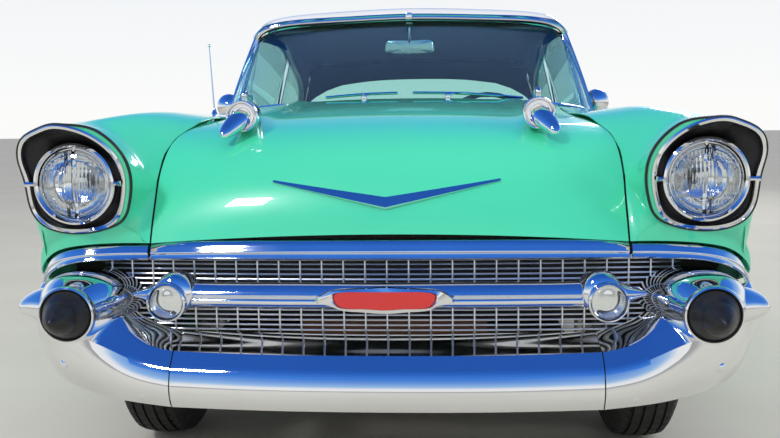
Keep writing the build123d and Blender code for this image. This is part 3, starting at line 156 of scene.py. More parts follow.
class Shape:
    """Places and faces that become one mesh piece; faced says that its faces look the right way."""

    def __init__(self):
        self.points = np.zeros((0, 3))
        self.faces = []
        self.faced = False

    def add(self, points, faces):
        start = len(self.points)
        self.points = np.vstack([self.points, np.asarray(points, float).reshape(-1, 3)])
        self.faces += [tuple(start + i for i in face) for face in faces]
        return self

    def join(self, *others):
        for other in others:
            self.add(other.points, other.faces)
        return self

    def grid(self, grid, wrap_rows=False, wrap_columns=False):
        grid = np.asarray(grid, float)
        return self.add(grid, grid_faces(grid.shape[0], grid.shape[1], wrap_rows, wrap_columns))

    def cap(self, *rings):
        """Closes rings of places, each with a fan about its middle."""
        for ring in rings:
            ring = np.asarray(ring, float)
            count = len(ring)
            faces = [(i, (i + 1) % count, count) for i in range(count)]
            self.add(np.vstack([ring, ring.mean(axis=0)]), faces)
        return self

    def moved(self, move):
        return Shape().add(self.points + np.asarray(move, float), self.faces)

    def mirrored(self):
        """The same shape on the other side of the car."""
        made = Shape().add(self.points * (-1, 1, 1), [tuple(reversed(face)) for face in self.faces])
        made.faced = self.faced
        return made


def capped(grid, wrap_columns=True):
    """A skin over rows of places with both ends closed."""
    return Shape().grid(grid, wrap_columns=wrap_columns).cap(grid[0], grid[-1])


def by_hand(shape, sign):
    return shape if sign > 0 else shape.mirrored()


def face_out(shape, towards):
    """Turns all faces of an open sheet so that they look towards a direction on the whole."""
    points = shape.points
    total = 0.0
    for face in shape.faces:
        a, b, c = points[face[0]], points[face[1]], points[face[2]]
        total += float(np.dot(np.cross(b - a, c - a), towards))
    if total < 0:
        shape.faces = [tuple(reversed(face)) for face in shape.faces]
    shape.faced = True
    return shape


def sheet(grid, towards):
    """An open sheet over rows of places that looks towards a direction."""
    return face_out(Shape().grid(grid), towards)


def box_shape(x0, x1, back0, back1, z0, z1):
    corners = [(x, b, z) for z in (z0, z1) for b in (back0, back1) for x in (x0, x1)]
    faces = [(0, 2, 3, 1), (4, 5, 7, 6), (0, 1, 5, 4), (2, 6, 7, 3), (0, 4, 6, 2), (1, 3, 7, 5)]
    return Shape().add(corners, faces)


def frames_along(path, up):
    """Side and up directions at each place of a path."""
    path = np.asarray(path, float)
    run = np.gradient(path, axis=0)
    run /= np.linalg.norm(run, axis=1)[:, None] + 1e-9
    side = np.cross(run, np.asarray(up, float))
    side /= np.linalg.norm(side, axis=1)[:, None] + 1e-9
    return side, np.cross(side, run)


def sweep(path, profile, up=UP, scale=None):
    """A closed profile of (side, up) places carried along a path, with a scale for each place."""
    path = np.asarray(path, float)
    profile = np.asarray(profile, float)
    side, rise = frames_along(path, up)
    scale = np.ones(len(path)) if scale is None else np.asarray(scale, float)
    return capped([path[i] + scale[i] * (profile[:, :1] * side[i] + profile[:, 1:] * rise[i])
                   for i in range(len(path))])


def circle(radius, count=12):
    turns = np.linspace(0, 2 * pi, count, endpoint=False)
    return np.column_stack([np.cos(turns), np.sin(turns)]) * radius


def tube(path, radius, count=10, up=UP, scale=None):
    return sweep(path, circle(radius, count), up, scale)


def turned(profile, origin, segments=64, axis=BACK, closed=False):
    """A profile of (radius, along) places turned about an axis through origin."""
    axis = np.asarray(axis, float) / np.linalg.norm(axis)
    helper = np.array((0.0, 0.0, 1.0)) if abs(axis[2]) < 0.9 else np.array((1.0, 0.0, 0.0))
    one = np.cross(axis, helper)
    one /= np.linalg.norm(one)
    two = np.cross(axis, one)
    turns = np.linspace(0, 2 * pi, segments, endpoint=False)
    rings = [np.array([np.asarray(origin) + r * (cos(t) * one + sin(t) * two) + h * axis for t in turns])
             for r, h in profile]
    return Shape().grid(rings, wrap_rows=closed, wrap_columns=True)


def round_edges(piece, width):
    rounding = piece.modifiers.new("rounding", "BEVEL")
    rounding.width = width * MM
    rounding.segments = 2
    rounding.limit_method = "ANGLE"
    rounding.angle_limit = radians(40)


def build(shape, name, finish, body="body_shell", replaces=(), slot=None, thickness=0.0, bevel=0.0,
          sharp=35.0):
    """Makes the piece, rides it on its body and hides the parts of model.glb that it replaces."""
    mesh = bpy.data.meshes.new(name)
    mesh.from_pydata([tuple(p) for p in metres(shape.points)], [], shape.faces)
    working = bmesh.new()
    working.from_mesh(mesh)
    bmesh.ops.remove_doubles(working, verts=working.verts, dist=WELD * MM)
    bmesh.ops.dissolve_degenerate(working, edges=working.edges, dist=0.01 * MM)
    if not shape.faced:
        bmesh.ops.recalc_face_normals(working, faces=working.faces)
    working.to_mesh(mesh)
    working.free()
    piece = bpy.data.objects.new(name, mesh)
    bpy.context.scene.collection.objects.link(piece)
    if thickness:
        solid = piece.modifiers.new("thickness", "SOLIDIFY")
        solid.thickness = thickness * MM
        solid.offset = -1
    if bevel:
        round_edges(piece, bevel)
    if piece.modifiers:
        settle(piece)
        piece.data.name = name
    smooth_by_angle(piece.data, sharp)
    piece.data.materials.clear()
    piece.data.materials.append(finish)
    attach(piece, body)
    if replaces:
        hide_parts(*replaces)
    return piece


def pair(shape, name, finish, body="body_shell", replaces=(), **settings):
    """The piece on the car's left, and mirrored on its right. A name that ends in _ takes the hand."""
    for sign, hand in HANDS:
        nodes = [node + hand if node[-1] == "_" else node
                 for node in replaces if sign > 0 or node[-1] == "_"]
        build(by_hand(shape, sign), name + hand, finish, body + hand if body[-1] == "_" else body, nodes,
              **settings)


def smooth_by_angle(mesh, degrees_limit):
    working = bmesh.new()
    working.from_mesh(mesh)
    limit = radians(degrees_limit)
    for face in working.faces:
        face.smooth = True
    for edge in working.edges:
        edge.smooth = not (len(edge.link_faces) == 2 and edge.calc_face_angle(0.0) > limit)
    working.to_mesh(mesh)
    working.free()


# Materials
def new_material(name, color, roughness, metallic=0.0, coat=0.0, transmission=0.0, ior=1.45, sheen=0.0):
    finish = bpy.data.materials.new(name)
    finish.use_nodes = True
    shader = finish.node_tree.nodes["Principled BSDF"]
    shader.inputs["Base Color"].default_value = (*color, 1)
    shader.inputs["Roughness"].default_value = roughness
    shader.inputs["Metallic"].default_value = metallic
    shader.inputs["Coat Weight"].default_value = coat
    shader.inputs["Coat Roughness"].default_value = 0.03
    shader.inputs["Transmission Weight"].default_value = transmission
    shader.inputs["IOR"].default_value = ior
    shader.inputs["Sheen Weight"].default_value = sheen
    return finish


def add_node(finish, kind, **settings):
    node = finish.node_tree.nodes.new(kind)
    for key, value in settings.items():
        if key in node.inputs:
            node.inputs[key].default_value = value
        else:
            setattr(node, key.lower(), value)
    return node


def link(finish, source, output, target, socket):
    finish.node_tree.links.new(source.outputs[output], target.inputs[socket])


def coordinates(finish, scale=(1, 1, 1)):
    place = add_node(finish, "ShaderNodeTexCoord")
    mapping = add_node(finish, "ShaderNodeMapping")
    mapping.inputs["Scale"].default_value = scale
    link(finish, place, "Object", mapping, "Vector")
    return mapping


def noise(finish, scale, detail=2.0, stretch=(1, 1, 1)):
    texture = add_node(finish, "ShaderNodeTexNoise", Scale=scale, Detail=detail)
    link(finish, coordinates(finish, stretch), "Vector", texture, "Vector")
    return texture


def shader_of(finish):
    return finish.node_tree.nodes["Principled BSDF"]


def mottle(finish, dark, light, scale, detail=3.0, stretch=(1, 1, 1)):
    """Varies the base colour between two colours."""
    texture = noise(finish, scale, detail, stretch)
    ramp = add_node(finish, "ShaderNodeValToRGB")
    ramp.color_ramp.elements[0].position = 0.3
    ramp.color_ramp.elements[1].position = 0.7
    ramp.color_ramp.elements[0].color = (*dark, 1)
    ramp.color_ramp.elements[1].color = (*light, 1)
    link(finish, texture, "Fac", ramp, "Fac")
    link(finish, ramp, "Color", shader_of(finish), "Base Color")


def smudge(finish, low, high, scale, detail=3.0, stretch=(1, 1, 1)):
    """Varies the roughness between two values."""
    texture = noise(finish, scale, detail, stretch)
    span = add_node(finish, "ShaderNodeMapRange")
    span.inputs["From Min"].default_value = 0.3
    span.inputs["From Max"].default_value = 0.7
    span.inputs["To Min"].default_value = low
    span.inputs["To Max"].default_value = high
    link(finish, texture, "Fac", span, "Value")
    link(finish, span, "Result", shader_of(finish), "Roughness")


def grain(finish, scale, strength, distance, detail=2.0, stretch=(1, 1, 1), source=None, output="Fac"):
    """Adds fine relief from a noise or another texture."""
    texture = source or noise(finish, scale, detail, stretch)
    bump = add_node(finish, "ShaderNodeBump")
    bump.inputs["Strength"].default_value = strength
    bump.inputs["Distance"].default_value = distance * MM
    link(finish, texture, output, bump, "Height")
    link(finish, bump, "Normal", shader_of(finish), "Normal")
    return bump


def paint(name, color, shade):
    finish = new_material(name, color, 0.32, coat=1.0)
    mottle(finish, shade, color, 1.3, 2.0)
    grain(finish, 900.0, 0.02, 0.05)
    smudge(finish, 0.28, 0.38, 6.0)
    return finish


def plated(name, color, low, high):
    finish = new_material(name, color, low, metallic=1.0)
    smudge(finish, low, high, 9.0, 5.0)
    mottle(finish, tuple(c * 0.94 for c in color), color, 5.0)
    return finish


def matte(name, dark, light, rough, scale, relief=0.2, depth=0.4, sheen=0.0):
    finish = new_material(name, light, rough, sheen=sheen)
    mottle(finish, dark, light, scale)
    grain(finish, scale * 8, relief, depth)
    smudge(finish, rough - 0.08, min(1.0, rough + 0.08), scale)
    return finish


def cloth(name, dark, light):
    finish = matte(name, dark, light, 0.85, 60.0, sheen=0.3)
    weave = add_node(finish, "ShaderNodeTexWave", Scale=260.0, Distortion=1.5)
    link(finish, coordinates(finish), "Vector", weave, "Vector")
    grain(finish, 0, 0.35, 0.5, source=weave)
    return finish


def glass(name, color, roughness=0.0):
    finish = new_material(name, color, roughness, transmission=1.0, ior=1.45)
    grain(finish, 3.0, 0.02, 0.3)
    return finish


MINT = (0.066, 0.705, 0.42)
GREEN = paint("green_paint", MINT, tuple(c * 0.93 for c in MINT))
IVORY = paint("white_paint", (0.84, 0.84, 0.8), (0.79, 0.79, 0.75))
CHROME = plated("chrome_plating", (0.83, 0.84, 0.86), 0.02, 0.07)
SATIN = plated("satin_aluminium", (0.72, 0.73, 0.75), 0.16, 0.3)
RIBBED = matte("black_ribbed", (0.006, 0.006, 0.007), (0.015, 0.015, 0.016), 0.45, 30.0)
RUBBER = matte("rubber", (0.008, 0.008, 0.008), (0.018, 0.018, 0.018), 0.42, 40.0, 0.12, 0.2)
TYRE = matte("tyre_rubber", (0.013, 0.013, 0.013), (0.03, 0.029, 0.028), 0.72, 22.0, 0.35, 0.4)
CHASSIS = matte("chassis_black", (0.012, 0.012, 0.012), (0.035, 0.032, 0.028), 0.6, 9.0)
STEEL = plated("plain_steel", (0.35, 0.34, 0.33), 0.3, 0.5)
IRON = matte("engine_iron", (0.1, 0.035, 0.012), (0.16, 0.055, 0.02), 0.5, 20.0)
WIRE = plated("grille_wire", (0.9, 0.91, 0.92), 0.3, 0.45)
GLASS = glass("tinted_glass", (0.6, 0.86, 0.8))
CLEAR = glass("lamp_glass", (0.97, 0.99, 0.98), 0.02)
RED_LENS = glass("red_lens", (0.75, 0.01, 0.01), 0.05)
VINYL = matte("seat_vinyl", (0.015, 0.1, 0.075), (0.022, 0.13, 0.1), 0.42, 25.0, 0.25, 0.3)
# Headliner colour made nearly black: painted shade for the shaded inside of the cabin under the roof, not
# the cloth's own colour.
HEADLINER_PAINTED_SHADE = cloth("headliner_painted_shade", (0.016, 0.024, 0.02), (0.026, 0.036, 0.031))
CARPET = cloth("carpet", (0.012, 0.03, 0.025), (0.02, 0.045, 0.04))
DASH = paint("dash_paint", (0.03, 0.16, 0.115), (0.026, 0.14, 0.1))
PLASTIC = matte("dark_plastic", (0.012, 0.03, 0.026), (0.02, 0.042, 0.036), 0.25, 30.0, 0.05)
ENAMEL_RED = paint("red_enamel", (0.62, 0.012, 0.012), (0.55, 0.01, 0.01))
ENAMEL_WHITE = paint("white_enamel", (0.8, 0.8, 0.78), (0.76, 0.76, 0.74))
MIRROR = plated("mirror_glass", (0.88, 0.9, 0.92), 0.0, 0.02)
IVORY_VINYL = matte("ivory_vinyl", (0.55, 0.55, 0.5), (0.62, 0.62, 0.57), 0.42, 25.0, 0.2, 0.3)
RIBBED_SILVER = plated("ribbed_silver", (0.66, 0.67, 0.69), 0.24, 0.38)

# Camera: where the photograph was taken from
CAMERA_PLACE = (140.6, -1985.7, 1018.3)
CAMERA_YAW = -0.05848
CAMERA_PITCH = 0.11715
CAMERA_ROLL = -0.01251
CAMERA_LENS = 41.23


def add_camera():
    forward = np.array((sin(CAMERA_YAW), cos(CAMERA_YAW), 0.0))
    right = np.array((cos(CAMERA_YAW), -sin(CAMERA_YAW), 0.0))
    up = np.array((0.0, 0.0, 1.0))
    ahead = forward * cos(CAMERA_PITCH) - up * sin(CAMERA_PITCH)
    above = up * cos(CAMERA_PITCH) + forward * sin(CAMERA_PITCH)
    side = right * cos(CAMERA_ROLL) + above * sin(CAMERA_ROLL)
    top = above * cos(CAMERA_ROLL) - right * sin(CAMERA_ROLL)
    data = bpy.data.cameras.new("camera")
    data.lens = CAMERA_LENS
    data.sensor_width = 36.0
    data.clip_start = 0.05
    camera = bpy.data.objects.new("camera", data)
    bpy.context.scene.collection.objects.link(camera)
    turn = Matrix((side, top, -ahead)).transposed().to_4x4()
    camera.matrix_world = Matrix.Translation(Vector(metres(CAMERA_PLACE)[0])) @ turn
    bpy.context.scene.camera = camera


# Floor, world and lamps
def add_stage():
    reach = 40.0
    mesh = bpy.data.meshes.new("floor")
    mesh.from_pydata([(-reach, -reach, 0), (reach, -reach, 0), (reach, reach, 0), (-reach, reach, 0)], [],
                     [(0, 1, 2, 3)])
    floor = bpy.data.objects.new("floor", mesh)
    bpy.context.scene.collection.objects.link(floor)
    finish = new_material("floor", (0.78, 0.78, 0.77), 0.85)
    mottle(finish, (0.62, 0.6, 0.53), (0.66, 0.64, 0.57), 1.5)
    mesh.materials.append(finish)


# Height of a direction above the horizon, from 0 to 1, and the backdrop's colour there
SKY = [(0.0, (0.97, 0.97, 0.96)), (0.12, (0.9, 0.92, 0.94)), (0.22, (0.36, 0.58, 0.9)),
       (0.42, (0.06, 0.24, 0.78)), (0.72, (0.03, 0.15, 0.62)), (1.0, (0.02, 0.1, 0.45))]
SOFT_LIGHT = (0.76, 0.77, 0.79, 1)


def add_world():
    world = bpy.data.worlds.new("studio")
    bpy.context.scene.world = world
    world.use_nodes = True
    nodes, links = world.node_tree.nodes, world.node_tree.links
    place = nodes.new("ShaderNodeTexCoord")
    split = nodes.new("ShaderNodeSeparateXYZ")
    ramp = nodes.new("ShaderNodeValToRGB")
    links.new(place.outputs["Generated"], split.inputs[0])
    links.new(split.outputs["Z"], ramp.inputs["Fac"])
    points = ramp.color_ramp.elements
    while len(points) < len(SKY):
        points.new(1.0)
    for point, (height, colour) in zip(points, SKY):
        point.position = height
        point.color = (*colour, 1)
    seen = nodes.new("ShaderNodeLightPath")
    soft = nodes["Background"]
    soft.inputs["Color"].default_value = SOFT_LIGHT
    soft.inputs["Strength"].default_value = 0.88
    backdrop = nodes.new("ShaderNodeBackground")
    links.new(ramp.outputs["Color"], backdrop.inputs["Color"])
    backdrop.inputs["Strength"].default_value = 1.0
    rays = seen.outputs["Is Camera Ray"]
    for other in ("Is Glossy Ray", "Is Transmission Ray"):
        either = nodes.new("ShaderNodeMath")
        either.operation = "MAXIMUM"
        links.new(rays, either.inputs[0])
        links.new(seen.outputs[other], either.inputs[1])
        rays = either.outputs["Value"]
    chosen = nodes.new("ShaderNodeMixShader")
    links.new(rays, chosen.inputs["Fac"])
    links.new(soft.outputs["Background"], chosen.inputs[1])
    links.new(backdrop.outputs["Background"], chosen.inputs[2])
    links.new(chosen.outputs["Shader"], nodes["World Output"].inputs["Surface"])


def add_lamp(name, place, target, size, power, in_chrome=True):
    data = bpy.data.lights.new(name, "AREA")
    data.shape = "RECTANGLE"
    data.size, data.size_y = size
    data.energy = power
    lamp = bpy.data.objects.new(name, data)
    bpy.context.scene.collection.objects.link(lamp)
    lamp.location = place
    lamp.rotation_euler = (Vector(target) - Vector(place)).to_track_quat("-Z", "Y").to_euler()
    lamp.visible_glossy = in_chrome


def add_lights():
    add_lamp("overhead", (0, -0.5, 5.2), (0, 0, 0.6), (4.5, 6.5), 60, False)
    add_lamp("key", (-3.0, -6.5, 5.0), (0, -1.5, 0.7), (0.9, 0.7), 170)
    add_lamp("fill", (4.8, -4.2, 2.8), (0, -1.0, 0.7), (2.0, 1.4), 60, False)
    add_lamp("rear", (3.0, 6.0, 4.0), (0, 1.5, 0.7), (2.0, 1.4), 80)


add_camera()
add_stage()
add_world()
add_lights()
scene = bpy.context.scene
scene.view_settings.view_transform = "Standard"

# Body sides: one row per station, from the sill by the widest point and the edge, over the crest
# Columns: back, then sill_x, side_x, side_z, edge_x, edge_z, top_x, top_z, in_x, in_z, seam_x, seam_z
SIDES = np.array([(330, 868, 908, 660, 893, 905, 775, 1012, 676, 955, 605, 845),
                  (520, 875, 908, 640, 877, 930, 735, 1028, 655, 1006, 583, 967),
                  (900, 880, 910, 630, 872, 930, 752, 1026, 650, 1026, 540, 1012),
                  (1500, 882, 910, 620, 872, 918, 800, 1003, 720, 1022, 570, 1044),
                  (1950, 884, 910, 610, 871, 905, 838, 976, 800, 990, 690, 1000),
                  (2900, 884, 910, 600, 868, 878, 838, 940, 800, 952, 690, 958),
                  (3400, 882, 910, 600, 866, 868, 836, 927, 798, 938, 680, 945),
                  (4000, 876, 908, 610, 864, 898, 840, 960, 800, 955, 660, 950),
                  (4500, 862, 900, 620, 862, 935, 846, 988, 815, 960, 650, 937),
                  (4975, 835, 885, 640, 864, 958, 850, 1000, 828, 958, 640, 885)], float)
SILL_BOTTOM = 255.0
SILL_TOP = 372.0
EDGE, CREST, SHOULDER = 2, 3, 4


def side_knots(back):
    """The control places (x, z) of the body side's section at a station."""
    row = spline(SIDES[:, 0], SIDES[:, 1:], [back])[0]
    return np.array([(row[0], SILL_BOTTOM), (row[1], row[2]), (row[3], row[4]), (row[5], row[6]),
                     (row[7], row[8]), (row[9], row[10])])


def side_column(back, z_low, x_end, counts=(18, 8, 6, 8)):
    """Places up the body side at a station, from z_low over the crest to x_end."""
    control = side_knots(back)
    knots = knots_of(control)
    fine_at = np.linspace(knots[0] - 0.2, knots[-1], 500)
    fine = spline(knots, control, fine_at)
    rising = np.argmax(fine[:, 1] >= z_low)
    start = fine_at[rising]
    after = np.where((fine_at > knots[CREST]) & (fine[:, 0] <= x_end))[0]
    end = fine_at[after[0]] if len(after) else knots[-1]
    stops = [start, knots[EDGE], knots[CREST], min(knots[SHOULDER], end - 0.01), end]
    at = [np.linspace(a, b, n + 1)[:-1] for a, b, n in zip(stops, stops[1:], counts)]
    at = np.concatenate(at + [[end]])
    places = spline(knots, control, at)
    return np.column_stack([places[:, 0], np.full(len(at), back), places[:, 1]])


def arch_low(back, axle, radius, ahead, behind):
    """Lower edge of a side panel with a round wheel opening."""
    offset = abs(back - axle)
    if offset >= radius:
        return ahead if back < axle else behind
    return TYRE_RADIUS + sqrt(radius * radius - offset * offset)


def stations(start, end, step, around=()):
    """Places along the car, closer together at the ends of wheel openings."""
    places = set(np.linspace(start, end, max(2, int((end - start) / step) + 1)).round(2))
    for axle, radius in around:
        for turn in np.linspace(0, pi, 61):
            places.add(round(axle - radius * cos(turn) * 0.9999, 2))
        places.add(axle - radius - 0.3)
        places.add(axle + radius + 0.3)
    return sorted(p for p in places if start <= p <= end)


def with_flange(column, depth=16.0):
    """A turned-in edge below the lower edge of a column."""
    first = column[0] + np.array((-depth, 0, 0))
    return np.vstack([first, column])


ARCH_FRONT = 398.0
ARCH_REAR = 378.0
FENDER_REAR = DOOR_FRONT - GAP - 1
HOOD_SEAM = np.array([(603, 240), (605, 330), (607, 400), (597, 480), (566, 600), (546, 740), (545, 1000),
                      (575, 1430)], float)

# Headlamp place and the outline of its bezel, clockwise from the peak as seen from ahead
LAMP = np.array((769.0, 176.0, 855.0))
BEZEL = np.array([(783, 110, 1003), (830, 127, 994), (872, 144, 977), (898, 158, 950), (905, 170, 910),
                  (898, 184, 858), (892, 197, 790), (855, 205, 743), (785, 206, 728), (715, 205, 737),
                  (672, 202, 765), (653, 196, 812), (645, 187, 862), (652, 172, 912), (681, 152, 957),
                  (728, 127, 990)], float)
MOULDING_TOP = np.array([(605, 242, 697), (700, 222, 700), (801, 217, 692), (875, 252, 664),
                         (921, 300, 610), (934, 330, 572)], float)


def hermite(start, end, leave, arrive, count):
    """Rays from start to end with given directions at both ends, as a grid of count rows."""
    rows = []
    for v in np.linspace(0, 1, count):
        a, b = 2 * v ** 3 - 3 * v ** 2 + 1, v ** 3 - 2 * v ** 2 + v
        c, d = -2 * v ** 3 + 3 * v ** 2, v ** 3 - v ** 2
        rows.append(a * start + b * leave + c * end + d * arrive)
    return np.array(rows)


def bezel_at(u):
    """Places on the closed bezel outline at fractional indexes."""
    size = len(BEZEL)
    longer = np.vstack([BEZEL, BEZEL, BEZEL])
    return spline(np.arange(3 * size, dtype=float), longer, np.asarray(u, float) % size + size)


def rim_at(u):
    """Edge of the fender round the headlamp housing, a little outside the housing on the inner side."""
    places = bezel_at(u)
    u = np.asarray(u, float) % len(BEZEL)
    share = np.clip(np.minimum((u - 9.0) / 1.6, (15.8 - u) / 1.4), 0, 1)[:, None]
    away = places - LAMP
    away[:, 1] = 0
    away /= np.linalg.norm(away, axis=1)[:, None]
    return places + away * 13.0 * share * share * (3 - 2 * share) + np.array((0, 2.0, 0)) * share


def fender_panel():
    """Front fender: the side from the pod's join to the door, and the pod round the headlamp."""
    shape = Shape()
    columns = []
    for back in stations(POD_JOIN, FENDER_REAR, 26.0, [(FRONT_AXLE, ARCH_FRONT)]):
        low = arch_low(back, FRONT_AXLE, ARCH_FRONT, 330.0, SILL_BOTTOM)
        inner = np.interp(back, HOOD_SEAM[:, 1], HOOD_SEAM[:, 0]) + GAP
        if back > HOOD_REAR:
            inner = COWL_HALF + GAP
        columns.append(with_flange(side_column(back, low, inner)))
    shape.grid(columns)
    section = columns[0][1:]
    ahead = side_column(POD_JOIN + 2.0, 330.0, 605 + GAP)
    slope = (ahead - section) / 2.0
    first = int(np.argmax(section[:, 2] >= 560.0))
    section, slope = section[first:], slope[first:]
    seam = through([section[-1], (602 + GAP, 292, 800), (602 + GAP, 262, 748), (603 + GAP, 242, 697)],
                   14)[1:]
    moulding = through(np.vstack([MOULDING_TOP[:-1], [section[0]]]), 24)[1:-1]
    ring = np.vstack([section, seam, moulding])
    corner_a, corner_b = len(section) - 1, len(section) + len(seam) - 1
    edge = int(np.argmax(section[:, 2] >= 893))
    crest = int(np.argmax(section[:, 2]))
    keys = [0, int(edge * 0.45), edge, crest, int((crest + corner_a) / 2), corner_a, corner_b,
            corner_b + 6, corner_b + 12, corner_b + 18, len(ring)]
    turns = [6.6, 5.6, 4.2, 0.0, -2.4, -4.3, -6.2, -7.1, -8.0, -8.9, -9.4]
    at = np.arange(len(ring))
    rim = rim_at(np.interp(at, keys, turns))
    span = np.linalg.norm(ring - rim, axis=1)[:, None]
    arrive = np.zeros_like(ring)
    arrive[:len(section)] = slope * (ring[:len(section), 1:2] - rim[:len(section), 1:2])
    for index in range(len(section), len(ring)):
        share = min(1.0, (index - corner_a) / 6.0)
        inward = np.array((-1.0, 0.25, 0.0)) if index <= corner_b else np.array((0.0, 0.2, -1.0))
        arrive[index] = share * inward * span[index] + (1 - share) * arrive[corner_a]
    leave = np.zeros_like(ring)
    scoop = np.interp(at, [crest, corner_a, corner_b, corner_b + 8], [0.0, 1.0, 1.0, 0.0])[:, None]
    leave += (1 - scoop) * 0.9 * (ring - rim) + scoop * np.array((0.0, 1.0, 0.0)) * span * 1.15
    shape.grid(hermite(rim, ring, leave, arrive, 16), wrap_columns=True)
    return shape


def station_place(row, x, mix):
    """A place at x on one hood or trunk station, mix of the way from its middle to its edge."""
    centre_back, centre_z, _, edge_back, edge_z, _ = row
    return x, centre_back + (edge_back - centre_back) * mix, centre_z + (edge_z - centre_z) * mix


def top_grid(table, rows, columns):
    """Outer face of the hood or the trunk lid: lines of equal share of the half width."""
    lines = []
    for share in np.linspace(-1, 1, columns):
        lines.append(through([station_place(row, share * row[2], abs(share) ** row[5]) for row in table],
                             rows))
    return np.array(lines)


def ridge_rise(x, back):
    """How far the hood swells under its sights."""
    return np.exp(-((abs(x) - SIGHT_X) / 40.0) ** 2) * np.clip((back - 420) / 260, 0, 1) * 9.0


def hood_grid():
    grid = top_grid(HOODS, 70, 90)
    grid[:, :, 2] += ridge_rise(grid[:, :, 0], grid[:, :, 1])
    return grid


POD_JOIN = 330.0
HOOD_REAR = 1430.0
COWL_HALF = 735.0
SIGHT_X = 415.0
# Hood and trunk lid stations: middle's back and z, half width, edge's back and z, power of the curve
HOODS = [(203, 722, 603, 240, 697, 2.0), (213, 768, 602, 262, 748, 2.2), (236, 825, 602, 292, 800, 2.4),
         (274, 881, 605, 330, 848, 2.4), (338, 931, 606, 388, 902, 2.4), (430, 970, 600, 470, 952, 2.4),
         (560, 1000, 574, 580, 985, 2.4), (760, 1029, 545, 760, 1004, 2.4),
         (1050, 1054, 546, 1050, 1021, 2.4), (1430, 1076, 575, 1430, 1045, 2.4)]
TRUNKS = [(3965, 992, 636, 3965, 950, 2.2), (4180, 990, 636, 4180, 949, 2.2),
          (4420, 982, 636, 4420, 942, 2.2), (4640, 962, 636, 4630, 926, 2.2),
          (4800, 925, 636, 4785, 893, 2.2), (4890, 868, 636, 4872, 842, 2.2),
          (4938, 790, 636, 4922, 770, 2.2), (4960, 700, 636, 4942, 692, 2.2),
          (4965, 620, 636, 4945, 620, 2.2)]


def make_fenders():
    pair(face_out(fender_panel(), (1, -0.3, 0.4)), "fender_panel_", GREEN, replaces=["fender_"],
         thickness=SHEET)


def make_hood():
    grid = hood_grid()
    build(sheet(grid, (0, -0.5, 1)), "hood_panel", GREEN, "hood", ["hood"], thickness=SHEET)
    inner = grid[4:-4, 6:-3].copy()
    inner[:, :, 2] -= 16
    inner[:, :, 1] += 5
    across = np.abs(np.sin(np.linspace(0, 6 * pi, inner.shape[0])))[:, None]
    rise = across * np.abs(np.sin(np.linspace(0, 5 * pi, inner.shape[1])))
    inner[:, :, 2] += np.clip(rise * 18 - 6, 0, 9)
    build(sheet(inner, (0, 0, -1)), "hood_inner_panel", GREEN, "hood", thickness=2.0)


def make_trunk_lid():
    grid = top_grid(TRUNKS, 60, 70)
    build(sheet(grid, (0, 0.5, 1)), "trunk_panel", GREEN, "trunk_lid", ["trunk_lid"], thickness=SHEET)


DOOR_INNER = 790


def door_shape():
    """A closed door shell: pressed outer skin, folded edges and a flat inner face."""
    columns = []
    for back in stations(DOOR_FRONT, DOOR_REAR - GAP - 1, 30.0):
        columns.append(side_column(back, SILL_TOP + GAP + 1, 801.0))
    outer = np.array(columns)
    inner = outer.copy()
    inner[:, :, 0] = np.where(outer[:, :, 2] > 925, outer[:, :, 0] - 14, DOOR_INNER)
    inner[:, -1, 0] = DOOR_INNER
    inner[:, :, 1] = np.clip(inner[:, :, 1], DOOR_FRONT + 4, DOOR_REAR - 26)
    inner[:, :, 2] = np.clip(inner[:, :, 2] - 6, SILL_TOP + GAP + 5, 940)
    shape = Shape().grid(outer)
    shape.join(Shape().grid(inner[:, ::-1]))
    for edge in ((outer[0], inner[0]), (outer[-1], inner[-1]), (outer[:, 0], inner[:, 0]),
                 (outer[:, -1], inner[:, -1])):
        shape.grid(edge)
    return shape


def make_doors():
    pair(door_shape(), "door_panel_", GREEN, "door_", ["door_"], bevel=1.5)


def quarter_panel():
    columns = []
    for back in stations(DOOR_REAR, 4975.0, 28.0, [(REAR_AXLE, ARCH_REAR)]):
        low = arch_low(back, REAR_AXLE, ARCH_REAR, SILL_BOTTOM, 285.0)
        inner = np.interp(back, [2880, 3700, 3880, 3960, 3961, 4975], [800, 790, 700, 660, 643, 643])
        columns.append(with_flange(side_column(back, low, inner)))
    shape = Shape().grid(columns)
    end = columns[-1][1:]
    rows = []
    inner = np.interp(end[:, 2], [300, 520, 600], [742, 742, 645])
    for share in np.linspace(0, 1, 8):
        row = end.copy()
        row[:, 0] += (inner - end[:, 0]) * share
        row[:, 1] += 16 * sin(share * pi / 2)
        row[:, 2] += (np.clip(end[:, 2], 300, 930) - end[:, 2]) * share
        rows.append(row)
    shape.grid(rows)
    return shape


def make_quarters():
    rocker = sweep(through([(858, FENDER_REAR + 3, 0), (858, DOOR_REAR, 0)], 8),
                   [(-26, SILL_BOTTOM), (24, SILL_BOTTOM), (28, SILL_BOTTOM + 20), (24, SILL_TOP - 6),
                    (16, SILL_TOP), (-26, SILL_TOP)])
    pair(face_out(quarter_panel(), (1, 0, 0.3)), "quarter_panel_", GREEN, replaces=["quarter_"],
         thickness=SHEET)
    pair(rocker, "rocker_", GREEN, bevel=2.0)


# Roof stations: back, drip edge, knee, shoulder, crown, middle
ROOFS = [
    (2019, (684, 1366), (653, 1410), (600, 1425), (335, 1443), (0, 1453)),
    (2050, (686, 1368), (662, 1412), (603, 1441), (335, 1465), (0, 1476)),
    (2110, (688, 1371), (665, 1417), (606, 1450), (335, 1477), (0, 1488)),
    (2250, (690, 1373), (665, 1424), (610, 1454), (335, 1480), (0, 1490)),
    (2500, (690, 1376), (663, 1430), (610, 1456), (335, 1480), (0, 1490)),
    (2850, (688, 1370), (656, 1426), (606, 1443), (335, 1467), (0, 1479)),
    (3200, (680, 1342), (646, 1393), (596, 1405), (335, 1427), (0, 1437)),
    (3480, (668, 1300), (630, 1342), (580, 1349), (335, 1368), (0, 1377)),
]

